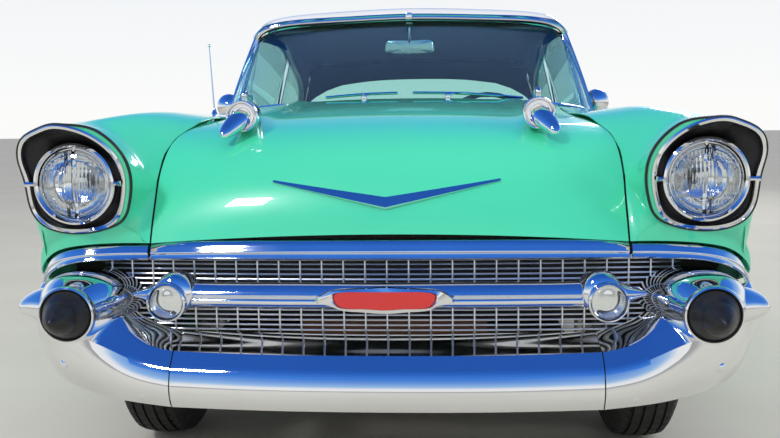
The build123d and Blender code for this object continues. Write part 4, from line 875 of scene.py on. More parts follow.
# Windshield post at three heights: outer x, inner x, front, back, z
FRONT_POST = ((790, 762, 1880, 1925, 990), (735, 712, 1960, 2000, 1180), (688, 664, 2022, 2064, 1366))


def roof_grid(drop=0.0, inset=0.0, rows=60):
    table = []
    for back, *places in ROOFS:
        half = [(x - inset, back, z - drop) for x, z in places]
        table.append(half + [(-x, b, z) for x, b, z in reversed(half[:-1])])
    return loft(table, rows, 6)


def make_roof():
    build(sheet(roof_grid(), (0, 0, 1)), "roof_panel", IVORY, replaces=["roof"], thickness=SHEET)
    build(sheet(roof_grid(26.0, 30.0), (0, 0, -1)), "roof_lining", HEADLINER_PAINTED_SHADE, thickness=2.0)
    post = loft([[(x0, b0, z), (x0, b1, z), (x1, b1, z), (x1, b0, z)] for x0, x1, b0, b1, z in FRONT_POST],
                14, 4, creases=(1, 2))
    pair(Shape().grid(post, wrap_columns=True), "front_post_", SATIN, bevel=2.0)


WIND_BASE = [(0, 1502, 1066), (250, 1508, 1064), (480, 1535, 1056), (640, 1600, 1040), (735, 1700, 1022),
             (766, 1800, 1010), (768, 1890, 1002)]
WIND_TOP = [(0, 2044, 1430), (250, 2039, 1424), (450, 2028, 1412), (570, 2020, 1398), (630, 2020, 1382),
            (656, 2028, 1368), (664, 2042, 1357)]
REAR_BASE = [(0, 3884, 988), (250, 3876, 984), (450, 3850, 974), (600, 3800, 961), (690, 3748, 953),
             (742, 3704, 949)]
REAR_TOP = [(0, 3500, 1342), (250, 3497, 1334), (440, 3486, 1309), (540, 3482, 1299), (600, 3479, 1293),
            (632, 3478, 1290)]


def mirrored_line(half):
    return [(-x, b, z) for x, b, z in reversed(half)] + list(half[1:])


def pane(base, top, bulge, rows=24, columns=90):
    """Curved glass between two lines, bowed outwards by bulge."""
    low = even(mirrored_line(base), columns)
    high = even(mirrored_line(top), columns)
    grid = []
    for share in np.linspace(0, 1, rows):
        row = low * (1 - share) + high * share
        away = row - np.array((0, 2700, row[:, 2].mean()))
        away[:, 2] = 0
        away /= np.linalg.norm(away, axis=1)[:, None]
        grid.append(row + away * bulge * sin(pi * share))
    return np.array(grid)


def make_windows():
    for name, base, top, bulge in (("windshield", WIND_BASE, WIND_TOP, 22),
                                   ("rear_window", REAR_BASE, REAR_TOP, 18)):
        grid = pane(base, top, bulge)
        build(Shape().grid(grid), name + "_glass", GLASS, replaces=[name], thickness=5.0)
        edge = np.vstack([grid[0], grid[1:-1, -1], grid[-1][::-1], grid[1:-1, 0][::-1]])
        trim = even(edge, 260, closed=True)
        trim = np.vstack([trim, trim[:1]])
        build(tube(trim, 8.0, 8), name + "_moulding", CHROME)


# Chrome of the front
FAR = 1e9


def make_headlamps():
    ring_places = [(101, 10), (103, 2), (101, -6), (96, -9), (91.5, -4), (91, 3), (89.5, 6), (88, 0),
                   (85.5, -2), (84.5, 12), (93, 30), (101, 30)]
    ring = turned(ring_places, LAMP, 96, closed=True)
    rim = bezel_at(np.linspace(0, len(BEZEL), 161)[:-1])
    middle = rim.mean(axis=0)
    inward = middle - rim
    inward[:, 1] = 0
    inward /= np.linalg.norm(inward, axis=1)[:, None]
    strip = [rim + inward * 1 + np.array((0, 6, 0)), rim - inward * 0.5,
             rim + inward * 4 + np.array((0, -4, 0)), rim + inward * 10,
             rim + inward * 11 + np.array((0, 10, 0))]
    bezel = Shape().grid(strip, wrap_columns=True)
    edge = rim_at(np.linspace(0, len(BEZEL), 161)[:-1])
    gasket = Shape().grid([edge + inward * 3.5 + np.array((0, 6, 0)),
                           edge + inward * 2 + np.array((0, -1, 0)),
                           edge - inward * 2.5 + np.array((0, -1.5, 0)),
                           edge - inward * 4 + np.array((0, 5, 0))], wrap_columns=True)
    sliver = Shape().grid([edge + inward * 1 + np.array((0, 3, 0)), (edge + rim) / 2 + np.array((0, 1, 0)),
                           rim + inward * 3 + np.array((0, 4, 0))], wrap_columns=True)
    turns = np.arctan2(rim[:, 2] - LAMP[2], rim[:, 0] - LAMP[0])
    inner = np.column_stack([LAMP[0] + 99 * np.cos(turns), np.full(len(rim), LAMP[1] + 24),
                             LAMP[2] + 99 * np.sin(turns)])
    start = rim + inward * 10 + np.array((0, 8, 0))
    leave = np.tile((0.0, 60.0, 0.0), (len(rim), 1)) + 0.3 * (inner - start)
    dish = hermite(start, inner, leave, 0.8 * (inner - start), 14)
    surround = Shape().grid(dish, wrap_columns=True)
    tabs = Shape()
    for angle in (0, 90, 180, 270):
        turn = radians(angle)
        away = np.array((cos(turn), 0, sin(turn)))
        aside = [np.linalg.norm(np.cross(p - LAMP, away) * (1, 0, 1)) if np.dot(p - LAMP, away) > 0 else FAR
                 for p in rim]
        hit = np.argmin(aside)
        reach = float(np.dot(rim[hit] - LAMP, away)) - 6
        back_end = rim[hit][1] + 4
        near = LAMP + away * 100 + np.array((0, 8, 0))
        far = np.array((LAMP[0], 0, LAMP[2])) + away * reach + np.array((0, back_end, 0))
        path = np.array([near, LAMP + away * (100 + (reach - 100) * 0.5), far])
        path[1, 1] = (path[0, 1] + path[2, 1]) / 2
        profile = [(-5, -3), (5, -3), (5, 2), (0, 5), (-5, 2)]
        tabs.join(sweep(path, profile, up=(0, -1, 0), scale=(1.0, 0.9, 1.3)))
    reflector = turned([(84, 14), (80, 26), (66, 48), (45, 64), (20, 72), (0.1, 74)], LAMP)
    bulb = turned([(0.1, 40), (14, 41), (17, 46), (15, 60), (0.1, 62)], LAMP, 32)
    pair(sliver, "headlamp_sliver_", GREEN)
    pair(ring, "headlamp_ring_", CHROME, replaces=["headlamp_rings"])
    pair(bezel, "headlamp_bezel_", CHROME)
    pair(gasket, "headlamp_gasket_", RUBBER)
    pair(surround, "headlamp_surround_", RIBBED)
    pair(tabs, "headlamp_tabs_", CHROME)
    pair(reflector, "headlamp_reflector_", CHROME)
    pair(bulb, "headlamp_shield_", SATIN)
    pair(lens_shape(), "headlamp_lens_", CLEAR, replaces=["headlamp_lenses"], sharp=60)


def lens_shape():
    """Domed lamp glass whose inner face is pressed into flutes and steps."""
    radius = 84.5
    shares = np.linspace(0, 1, 33)
    turns = np.linspace(0, 2 * pi, 144, endpoint=False)
    front, rear = [], []
    for share in shares:
        r = max(0.05, share * radius)
        x, z = r * np.cos(turns), r * np.sin(turns)
        dome = -22 * (1 - share ** 2)
        front.append(np.column_stack([LAMP[0] + x, np.full(144, LAMP[1] + 4 + dome), LAMP[2] + z]))
        flute = np.abs(np.sin(x * pi / 9.0)) * 1.8
        flute += np.where(np.abs(z) > 30, np.abs(np.sin(z * pi / 14.0)) * 1.5, 0.0)
        fade = np.clip((1 - share) * 12, 0, 1)
        rear.append(np.column_stack([LAMP[0] + x, LAMP[1] + 10 + dome + flute * fade, LAMP[2] + z]))
    shape = Shape().grid(front, wrap_columns=True)
    shape.join(Shape().grid(np.array(rear)[:, ::-1], wrap_columns=True))
    shape.grid([front[-1], rear[-1]], wrap_columns=True)
    return shape


# Lip bar: x, back and rise over the height that it has at the ends
LIP_ROWS = [(-605, 236, 0), (-560, 224, 6), (-400, 204, 15), (-200, 194, 19), (0, 190, 20), (200, 194, 19),
            (400, 204, 15), (560, 224, 6), (605, 236, 0)]
LIP_PROFILE = [(24, 697), (12, 694), (0, 676), (-2, 671), (3, 667), (2, 664), (-1, 658), (6, 652),
               (22, 651), (30, 660)]


def make_lip_bar():
    rows = []
    for x, back, rise in LIP_ROWS:
        stretch = rise / 46.0
        rows.append([(x, back + b, 651 + (z - 651) * (1 + stretch * 0.4) + rise * 0.25)
                     for b, z in LIP_PROFILE])
    shape = capped(loft(rows, 90, 3, creases=(2, 4, 6, 8)), wrap_columns=False)
    build(shape, "hood_lip_bar", CHROME, "hood", ["hood_trim"], sharp=30)


# Fender moulding: x, back, rise against the lip bar and share of its section
MOULDING_PATH = [(613, 238, 0, 1.0), (700, 220, 2, 1.0), (801, 215, -6, 0.98), (875, 250, -34, 0.9),
                 (915, 292, -76, 0.7), (934, 325, -128, 0.25)]


def make_fender_mouldings():
    rows = []
    for x, back, drop, thin in MOULDING_PATH:
        rows.append([(x, back + b * thin, 674 + drop + (z - 674) * thin) for b, z in LIP_PROFILE])
    shape = capped(loft(rows, 44, 3, creases=(2, 4, 6, 8)), wrap_columns=False)
    pair(shape, "fender_moulding_", CHROME, replaces=["fender_mouldings"], sharp=30)


GRILLE_BACK = 250.0
GRILLE_LOW = 455.0
GRILLE_HIGH = 660.0
GRILLE_BOW = 0.00006


def make_grille():
    shape = Shape()
    for z in np.arange(GRILLE_LOW, GRILLE_HIGH, 13.2):
        half = 742 if z > 560 else 700
        path = [(x, GRILLE_BACK + GRILLE_BOW * x * x, z) for x in np.linspace(-half, half, 25)]
        shape.join(tube(path, 2.5, 6))
    for x in np.arange(-13, 14) * 55.5:
        heights = np.linspace(GRILLE_LOW - 6, GRILLE_HIGH, 12)
        path = [(x, GRILLE_BACK - 3 + GRILLE_BOW * x * x, z) for z in heights]
        shape.join(tube(path, 2.7, 6, up=BACK))
    build(shape, "grille_mesh", WIRE, replaces=["grille"])


# Parking lamps in the crossbar: turned profiles, and ovals as back, x, z, half width and half height
PARKING_HOUSING = [(39, 12), (40, 2), (44, -3), (48, 0), (49, 8), (47, 20), (48, 40), (44, 70), (30, 95),
                   (10, 108), (0.1, 109)]
PARKING_POCKET = [(150, 530, 571, 30, 32), (158, 529, 575, 45, 46), (178, 527, 580, 52, 51),
                  (205, 525, 582, 52, 50), (230, 522, 582, 44, 41), (243, 520, 582, 26, 24)]
PARKING_BOWL = [(39, 12), (30, 24), (12, 30), (0.1, 31)]
PARKING_LENS = [(0.1, -7), (10, -6.5), (14, -5), (18, -5.6), (24, -4), (28, -4.8), (34, -2.5), (37, -1),
                (39.5, 3), (39.5, 7), (34, 6), (0.1, 3)]
BAR_PROFILE = [
    (66, 592), (48, 603), (30, 605), (14, 598), (4, 586), (0, 578), (8, 573), (3, 568), (0, 560), (6, 550),
    (18, 543), (40, 541), (66, 550),
]


def make_crossbar():
    rows = []
    for x in (-642, -600, -560, -480, -300, 0, 300, 480, 560, 600, 642):
        size = 0.16 if abs(x) > 620 else 0.62 if abs(x) > 580 else 1.0
        back = 150 + GRILLE_BOW * x * x
        rows.append([(x, back + 30 + (b - 30) * size, 572 + (z - 572) * size) for b, z in BAR_PROFILE])
    build(capped(loft(rows, 110, 3, creases=(5, 7))), "grille_crossbar", CHROME, replaces=["grille_bar"],
          sharp=30)
    for sign, hand in HANDS:
        centre = (sign * 537, 130, 565)
        pocket = oval_loft([(back, sign * x, z, half_x, half_z)
                            for back, x, z, half_x, half_z in PARKING_POCKET], 30)
        build(turned(PARKING_HOUSING, centre).join(pocket), "parking_lamp_" + hand, CHROME)
        build(turned(PARKING_BOWL, centre, 48), "parking_reflector_" + hand, SATIN)
        build(turned(PARKING_LENS, centre), "parking_lens_" + hand, CLEAR, sharp=50)


def outline_prism(points, back0, back1, inset=0.0):
    """A plate with a front-view outline of (x, z) places."""
    points = np.asarray(points, float)
    middle = points.mean(axis=0)
    front = middle + (points - middle) * (1 - inset)
    rear_ring = np.column_stack([points[:, 0], np.full(len(points), back1), points[:, 1]])
    front_ring = np.column_stack([front[:, 0], np.full(len(points), back0), front[:, 1]])
    return capped([rear_ring, front_ring])


CREST_OUTLINE = [
    (-171, 566), (-150, 586), (-122, 594), (-40, 598), (0, 600), (40, 598), (122, 594), (150, 586),
    (171, 566), (140, 556), (112, 545), (60, 540), (0, 536), (-60, 540), (-112, 545), (-140, 556),
]
CREST_FIELD = [(-112, 586), (0, 590), (112, 586), (118, 576), (104, 554), (50, 548), (0, 545), (-50, 548),
               (-104, 554), (-118, 576)]


def make_crest():
    outline = even([(x, 0, z) for x, z in CREST_OUTLINE], 80, closed=True)[:, [0, 2]]
    field = even([(x, 0, z) for x, z in CREST_FIELD], 80, closed=True)[:, [0, 2]] * (1.06, 1.0)
    ring = []
    for points, back in ((outline, 156), (outline, 142), (outline * (0.97, 1), 137),
                         (field * (1.05, 1), 134), (field, 138)):
        ring.append(np.column_stack([points[:, 0], np.full(80, back), points[:, 1]]))
    build(Shape().grid(ring, wrap_columns=True), "crest_frame", CHROME, sharp=30)
    build(outline_prism(field * (0.995, 0.998) + (0, 1.2), 134.5, 142.0, 0.01), "crest_field", ENAMEL_RED,
          slot="chrome")


# Front bumper: sections across the car at x, each row the same seven places of (back, z)
BUMPER = [
    (0, (222, 466), (165, 448), (112, 438), (78, 404), (64, 352), (80, 308), (124, 300)),
    (300, (224, 467), (168, 449), (118, 439), (84, 405), (70, 353), (86, 309), (130, 301)),
    (524, (230, 470), (180, 452), (134, 443), (98, 408), (85, 355), (102, 311), (142, 305)),
    (610, (236, 498), (190, 480), (148, 464), (108, 424), (96, 366), (118, 316), (156, 309)),
    (680, (240, 540), (200, 528), (165, 505), (116, 452), (108, 384), (140, 320), (180, 314)),
    (750, (244, 566), (205, 552), (165, 528), (126, 478), (128, 396), (172, 326), (212, 321)),
    (815, (250, 575), (215, 562), (175, 542), (146, 496), (156, 408), (204, 338), (242, 336)),
    (865, (262, 580), (230, 568), (198, 552), (176, 512), (188, 430), (232, 360), (268, 362)),
    (905, (285, 584), (258, 574), (235, 560), (216, 528), (224, 462), (258, 405), (292, 402)),
    (926, (320, 586), (300, 578), (280, 566), (268, 540), (272, 484), (292, 436), (318, 430)),
    (930, (372, 586), (362, 580), (352, 568), (346, 542), (348, 486), (356, 440), (372, 432)),
]
SEAM_X = 524.0


def bumper_rows(table, sign):
    return [[(sign * x, b, z) for b, z in places] for x, *places in table]


def make_front_bumper():
    centre = bumper_rows(BUMPER[2:0:-1], -1) + bumper_rows(BUMPER[:3], 1)
    centre[0] = [(-(SEAM_X - 1.5), b, z) for _, b, z in centre[0]]
    centre[-1] = [(SEAM_X - 1.5, b, z) for _, b, z in centre[-1]]
    grid = loft(centre, 60, 5, creases=(2, 3, 5))
    build(sheet(grid, (0, -1, 0)), "bumper_centre", CHROME, replaces=["front_bumper"], thickness=4.0,
          sharp=28)
    grid = loft(bumper_rows(BUMPER[2:], 1), 70, 5, creases=(2, 3, 5))
    grid[0, :, 0] = SEAM_X + 1.5
    bullet, ring = bullet_shapes()
    pair(sheet(grid, (0.2, -1, 0)), "bumper_end_", CHROME, thickness=4.0, sharp=28)
    pair(pod_shape(), "bumper_pod_", CHROME, sharp=50)
    pair(wing_shape(), "bumper_wing_", CHROME, sharp=50)
    pair(ring, "bullet_ring_", CHROME)
    pair(bullet, "bumper_bullet_", RUBBER, replaces=["bumper_bullets"])
    bolts = Shape()
    for sign in (-1, 1):
        for x, back, z in ((sign * 812, 158, 402), (sign * 600, 108, 340)):
            bolts.join(turned([(0.1, -7), (6, -6.5), (11, -3), (13, 2)], (x, back, z), 24,
                              axis=(sign * -0.35, 1, 0)))
    build(bolts, "bumper_bolts", CHROME)


# Bumper pod sections: back, x, z, half width, half height
POD = [(100, 775, 541, 66, 66), (112, 775, 542, 71, 71), (135, 775, 545, 84, 78), (165, 774, 549, 100, 82),
       (195, 772, 552, 112, 83), (230, 768, 555, 122, 80), (275, 762, 556, 128, 74),
       (320, 758, 556, 126, 66)]

# Outer wing of the bumper: x, front, rear, height and half thickness
WING = ((830, 120, 250, 545, 50), (870, 138, 262, 546, 44), (905, 156, 274, 545, 34),
        (928, 172, 284, 543, 22), (937, 190, 290, 542, 8))


def oval(x, back, z, half_x, half_z, count):
    """An upright oval of places, as seen from ahead."""
    turns = np.linspace(0, 2 * pi, count, endpoint=False)
    return [(x + half_x * cos(t), back, z + half_z * sin(t)) for t in turns]


def closed_loft(rings, along, per_span):
    """A smooth skin over closed rings, each given once round without its start again."""
    return loft([list(ring) + [ring[0]] for ring in rings], along, per_span)[:, :-1]


def pod_shape():
    rings = [oval(x, back, z, half_x, half_z, 24) for back, x, z, half_x, half_z in POD]
    return Shape().grid(closed_loft(rings, 40, 3), wrap_columns=True)


def wing_shape():
    rings = []
    turns = np.linspace(0, 2 * pi, 20, endpoint=False)
    for x, front, rear, z, half in WING:
        middle, reach = (front + rear) / 2, (rear - front) / 2
        rings.append([(x, middle - reach * cos(t), z + half * sin(t)) for t in turns])
    grid = closed_loft(rings, 26, 3)
    return Shape().grid(grid, wrap_columns=True).cap(grid[-1])


BULLET = (775.0, 100.0, 541.0)


def bullet_shapes():
    cone = turned([(0.1, -98), (4, -97), (10, -92), (22, -78), (36, -52), (40, -42), (41, -38), (40, -35),
                   (50, -20), (58, -6), (61, 4), (61, 12)], BULLET)
    ring = turned([(61, 6), (62, -2), (65, -5), (69, -3), (71, 4), (70, 14), (61, 14)], BULLET,
                  closed=True)
    return cone, ring


# Places on the hood and on the body side
def hood_line_at(x):
    """The hood's line at one x, as places (x, back, z) from the lip to the cowl."""
    line = through([station_place(row, x, min(1.0, abs(x) / row[2]) ** row[5]) for row in HOODS], 400)
    line[:, 2] += ridge_rise(x, line[:, 1])
    return line


def hood_back(x, z):
    line = hood_line_at(x)
    return float(np.interp(z, line[:, 2], line[:, 1]))


def side_surface(back, z):
    """How far out the body side lies at a place."""
    control = side_knots(back)
    knots = knots_of(control)
    fine = spline(knots, control, np.linspace(knots[0], knots[CREST], 300))
    order = np.argsort(fine[:, 1])
    return float(np.interp(z, fine[order, 1], fine[order, 0]))


def crest_line(back):
    """Place of the body side's top line at a station."""
    control = side_knots(back)
    knots = knots_of(control)
    fine = spline(knots, control, np.linspace(knots[EDGE], knots[SHOULDER], 200))
    top = fine[np.argmax(fine[:, 1])]
    return float(top[0]), float(top[1])


def joined(*shapes):
    return Shape().join(*shapes)


def plate(outline, x0, x1):
    """A flat plate whose side-view outline is a list of (back, z) places."""
    outline = np.asarray(outline, float)
    rings = [np.column_stack([np.full(len(outline), x), outline[:, 0], outline[:, 1]]) for x in (x0, x1)]
    return capped(rings)


# Hood ornaments
CHEVRON_HALF = 288.0
CHEVRON_Z = (789.0, 851.0)


def make_chevron():
    """A V with a ridge along its lower edge, and arms that are deepest where they meet."""
    rows = []
    for x in np.linspace(-CHEVRON_HALF, CHEVRON_HALF, 81):
        share = abs(x) / CHEVRON_HALF
        low = CHEVRON_Z[0] - 5 + (CHEVRON_Z[1] - CHEVRON_Z[0] + 3) * share
        high = low + 5.5 + 23.0 * (1 - share)
        ridge = low + 0.16 * (high - low)
        stand = 5.0 + 7.0 * (1 - share)
        places = [(low, -2), (low, 0.5 * stand), (ridge, stand), (high - 1, 2.5), (high, 1.5), (high, -2)]
        rows.append([(x, hood_back(x, z) - rise, z) for z, rise in places])
    build(capped(rows), "hood_chevron", CHROME, "hood", sharp=25)


SIGHT_NOSE = [(363, 439, 966, 2, 2), (367, 437, 969, 10, 9), (374, 434, 974, 16, 15),
              (386, 428, 982, 21, 20), (404, 418, 994, 26, 24), (428, 406, 1008, 29, 27)]
SIGHT_BODY = [(429, 400, 1016, 42, 42), (436, 400, 1016, 43.5, 43), (470, 400, 1019, 42, 41),
              (530, 402, 1021, 35, 34), (600, 404, 1023, 24, 23), (660, 407, 1024, 13, 13),
              (708, 409, 1025, 2, 3)]
SIGHT_RINGS = [
    (42, 4), (43.5, -3), (41, -8), (37, -7), (35.5, 0), (33, 3), (31.5, -2), (29.5, -2), (28, 3),
    (25.5, 3), (24, -1), (22, -1), (20.5, 3), (0.1, 3),
]
SIGHT_FIN = [(474, 1052), (472, 1078), (478, 1086), (500, 1085), (560, 1074), (630, 1050), (560, 1036)]


def oval_loft(table, count):
    return capped(closed_loft([oval(x, back, z, half_x, half_z, 28)
                               for back, x, z, half_x, half_z in table], count, 2))


def make_sights():
    body = joined(oval_loft(SIGHT_NOSE, 24), oval_loft(SIGHT_BODY, 40))
    rings = turned(SIGHT_RINGS, (400, 427, 1016), 72)
    fin = plate(SIGHT_FIN, 397, 410)
    pair(body, "hood_sight_", CHROME, "hood", sharp=40)
    pair(rings, "hood_sight_rings_", CHROME, "hood", sharp=40)
    pair(fin, "hood_sight_fin_", CHROME, "hood", bevel=3.0)


# Wipers, antenna and mirrors
WIPER_PATHS = (((-307, 1506, 1082), (-170, 1494, 1092), (-28, 1493, 1096)),
               ((32, 1493, 1096), (240, 1494, 1090), (455, 1520, 1072)))
WIPER_PIVOTS = ((-156, 1474, 1074), (166, 1474, 1074))


def make_wipers():
    metal, blade = Shape(), Shape()
    for path, pivot in zip(WIPER_PATHS, WIPER_PIVOTS):
        line = through(np.array(path, float) + (0, -8, 3), 30)
        metal.join(sweep(line, [(-4, -2), (4, -2), (3, 3), (-3, 3)], up=(0, -1, 0.6)))
        piece = sweep(line + (0, 5, -2), [(-1.5, -6), (1.5, -6), (3, 2), (-3, 2)], up=(0, -1, 0.6))
        blade.join(piece)
        pivot = np.array(pivot, float)
        middle = line[15] + (0, -4, 3)
        arm = tube(through([pivot + (0, -3, 14), (pivot + middle) / 2 + (0, -14, 10), middle], 16), 3.5, 8,
                   scale=np.linspace(1.3, 0.8, 16))
        hub = turned([(0.1, 22), (7, 20), (10, 14), (11, 4), (16, 0), (17, -14)], pivot + (0, 0, -2), 32,
                     axis=(0, -0.25, 1))
        metal.join(arm)
        metal.join(hub)
    build(metal, "wiper_arms", CHROME, replaces=["wipers"], sharp=40)
    build(blade, "wiper_blades", RUBBER)


def make_antenna():
    base = turned([(0.1, 38), (5, 36), (7, 26), (13, 14), (19, 6), (20, 0), (0.1, -3)], (-685, 1250, 1010),
                  40, axis=(0, 0.1, 1))
    mast = tube([(-685, 1252, 1030), (-692, 1262, 1130), (-702, 1275, 1272)], 2.6, 10, up=LEFT,
                scale=(1.4, 1.0, 0.7))
    tip = turned([(0.1, 6), (4, 4), (5, 0), (4, -4), (0.1, -6)], (-702, 1275.5, 1272), 20, axis=UP)
    build(joined(base, mast, tip), "antenna_mast", CHROME, replaces=["antenna"], sharp=50)


def make_mirrors():
    centre = np.array((838, 2105, 1062), float)
    head = turned([(0.1, -24), (12, -23), (26, -18), (40, -9), (50, 3), (54, 14), (56, 18), (56, 24),
                   (52, 27), (50, 22)], centre)
    face = turned([(0.1, 21), (50, 22)], centre)
    stem = sweep(through([(834, 2130, 962), (834, 2128, 985), (836, 2120, 1005), (837, 2113, 1020)], 16),
                 circle(8, 12) * (0.8, 1.3), up=LEFT, scale=np.linspace(1.5, 0.8, 16))
    foot = turned([(0.1, 10), (10, 9), (19, 5), (24, 0), (24, -4)], (836, 2131, 955), 40,
                  axis=(0.25, 0, 1))
    foot.points = (foot.points - (836, 2131, 955)) * (0.8, 1.7, 1) + (836, 2131, 955)
    shell = joined(head, stem, foot)
    pair(shell, "door_mirror_", CHROME, "door_", ["mirror_"], sharp=50)
    pair(face, "door_mirror_face_", MIRROR, "door_")
    outline = even([(-110, 0, 8), (-108, 0, -22), (-90, 0, -30), (90, 0, -30), (108, 0, -22), (110, 0, 8),
                    (104, 0, 28), (60, 0, 31), (-60, 0, 31), (-104, 0, 28)], 72, closed=True)[:, [0, 2]]
    rings = []
    for size, back in ((0.2, 2075), (0.9, 2077), (0.97, 2080), (1.0, 2086), (1.0, 2092), (0.97, 2094),
                       (0.94, 2092)):
        ring = outline * size
        rings.append(np.column_stack([ring[:, 0], np.full(72, back), ring[:, 1] + 1314]))
    shell = Shape().grid(rings, wrap_columns=True).cap(rings[0])
    face = Shape().cap(np.column_stack([outline[:, 0] * 0.95, np.full(72, 2091.5),
                                        outline[:, 1] * 0.95 + 1314]))
    stalk = tube(through([(0, 2083, 1330), (0, 2070, 1352), (0, 2066, 1385), (0, 2070, 1408)], 16), 6, 12,
                 up=LEFT)
    foot = turned([(20, 8), (19, 0), (12, -6), (0.1, -8)], (0, 2070, 1410), 32, axis=UP)
    build(shell, "inside_mirror_shell", SATIN, replaces=["interior_mirror"], sharp=40)
    build(face, "inside_mirror_face", MIRROR)
    build(joined(stalk, foot), "inside_mirror_stalk", SATIN)


# Bright trim along the sides
SPEAR = [(400, 778), (480, 777), (838, 775), (1640, 770), (2300, 764), (2900, 757), (3400, 753),
         (3759, 738), (4200, 700), (4600, 662), (4890, 634)]
UPPER_SPEAR = [(2640, 763), (2800, 776), (3100, 799), (3500, 826), (3900, 850), (4300, 870), (4700, 882),
               (4925, 886)]
STRIP_PROFILE = [(-9, 0), (-8, 4), (-3, 7), (0, 5.5), (3, 7), (8, 4), (9, 0)]
SPANS = ((396, 1633, "body_shell", "fender"), (1643, 2871, "door_", "door"),
         (2882, 4900, "body_shell", "quarter"))


def strip_path(points, start, end, count):
    """Places on the body side along a trim line, given as (back, z), between two stations."""
    line = through(points, 300)
    backs = np.linspace(max(start, line[0, 0]), min(end, line[-1, 0]), count)
    heights = np.interp(backs, line[:, 0], line[:, 1])
    return np.array([(side_surface(back, z), back, z) for back, z in zip(backs, heights)])


def ending(count, first, last, taper=6):
    """Scales that draw a strip to a point at its first or last places."""
    scale = np.ones(count)
    if first:
        scale[:taper] = np.linspace(0.12, 1, taper)
    if last:
        scale[-taper:] = np.linspace(1, 0.12, taper)
    return scale


def make_side_trim():
    for start, end, body, name in SPANS:
        path = strip_path(SPEAR, start, end, 60)
        shape = sweep(path, STRIP_PROFILE, up=LEFT, scale=ending(60, name == "fender", False))
        if name != "fender":
            upper = strip_path(UPPER_SPEAR, start, end, 50)
            shape = joined(shape,
                           sweep(upper, STRIP_PROFILE, up=LEFT, scale=ending(50, name == "door", False)))
            first, last = max(start, 2660), min(end, 4890)
            high = strip_path(UPPER_SPEAR, first, last, 60)
            low = strip_path(SPEAR, first, last, 60)
            rows = []
            for share in np.linspace(0, 1, 14):
                row = low * (1 - share) + high * share
                row[:, 0] = [side_surface(b, z) + 1.5 for _, b, z in row]
                rows.append(row)
            insert = sheet(rows, (1, 0, 0))
            pair(insert, f"side_insert_{name}_", RIBBED_SILVER, body)
        pair(shape, f"side_spear_{name}_", CHROME, body, sharp=35)
    belts = ((1655, 2868, "door_", "door"), (2884, 3560, "body_shell", "quarter"))
    for start, end, body, name in belts:
        path = []
        for back in np.linspace(start, end, 50):
            x, z = crest_line(back)
            path.append((x - 16, back, z - 1))
        belt = sweep(path, [(-4, -7), (-4, 2), (0, 7), (5, 3), (7, -7)])
        pair(belt, f"belt_strip_{name}_", CHROME, body, sharp=35)
    handle_base = np.array([(side_surface(b, 846) + 1, b, 846) for b in (2640, 2800)])
    out = np.array((1.0, 0, 0))
    grip = sweep(through([handle_base[0], handle_base[0] + out * 20 + (0, 18, 0),
                          (handle_base[0] + handle_base[1]) / 2 + out * 26,
                          handle_base[1] + out * 20 - (0, 22, 0), handle_base[1] - (0, 6, 0)], 30),
                 circle(8, 12) * (1.1, 0.55), up=LEFT)
    button = turned([(0.1, 12), (9, 11), (11, 8), (11, 2), (17, 1), (18, -2)], handle_base[1] + (0, 16, 0),
                    36, axis=LEFT)
    lock = turned([(0.1, 5), (7, 4.5), (10, 2), (11, -2)], (side_surface(2810, 800), 2810, 800), 32,
                  axis=LEFT)
    pair(joined(grip, button, lock), "door_handle_", CHROME, "door_", sharp=45)


ROOF_EDGE = [(2022, 685, 1366), (2180, 690, 1372), (2500, 691, 1376), (2850, 689, 1370),
             (3050, 685.5, 1357), (3200, 681, 1342), (3350, 675, 1321), (3470, 669, 1302)]
HEADER = [(0, 2021, 1443), (250, 2017, 1436), (450, 2009, 1427), (560, 2006, 1417), (630, 2008, 1400),
          (668, 2016, 1376), (684, 2024, 1356)]
POST_LINE = [(684, 2024, 1356), (722, 1975, 1240), (757, 1925, 1120), (783, 1884, 1018)]


def make_roof_trim():
    path = even(mirrored_line(HEADER), 90)
    profile = [(-13, 0), (-11, 6), (-5, 8), (-1, 5), (3, 5), (7, 8), (12, 6), (14, 0)]
    build(sweep(path, profile, up=(0, -1, 0.25)), "roof_header_trim", CHROME, sharp=30)
    clip = box_shape(-14, 14, 2008, 2018, 1428, 1459)
    build(clip, "roof_header_clip", CHROME, bevel=3.0)
    drip = sweep(through([(x, b, z) for b, x, z in ROOF_EDGE], 60),
                 [(-4, -3), (-5, 5), (2, 7), (7, 3), (6, -4)], up=LEFT)
    post = sweep(through(POST_LINE, 30), [(-9, -4), (-9, 4), (0, 8), (9, 4), (9, -4)], up=(0.8, -0.6, 0.3))
    pair(joined(drip, post), "roof_side_trim_", CHROME, sharp=35)


# Rear quarters of the roof, behind the curved end of the side windows
WINDOW_END = [(3545, 930), (3542, 985), (3520, 1050), (3470, 1115), (3355, 1182), (3220, 1228),
              (3050, 1268), (2880, 1310), (2760, 1345), (2620, 1372)]
QUARTER_BACK = [(3690, 930), (3640, 1018), (3560, 1166), (3484, 1306), (3350, 1319), (3200, 1341),
                (2850, 1369), (2640, 1375)]

FRAME_BAR = [(-7, -5), (-7, 5), (7, 5), (7, -5)]


def quarter_x(back, z):
    lean = 0.231 + (0.287 - 0.231) * np.clip((back - 2600) / 878, 0, 1)
    return 790 - (z - 900) * lean


def quarter_glass():
    """The fixed side glass behind the door, from the belt up to its curved end."""
    end = even([(0, b, z) for b, z in WINDOW_END], 200)
    rows = []
    for back in np.linspace(2890, 3546, 50):
        top = float(np.interp(back, end[::-1, 1], end[::-1, 2])) + 8
        heights = np.linspace(936, max(top, 940), 24)
        rows.append([(quarter_x(back, z) - 9, back, z) for z in heights])
    return Shape().grid(rows)


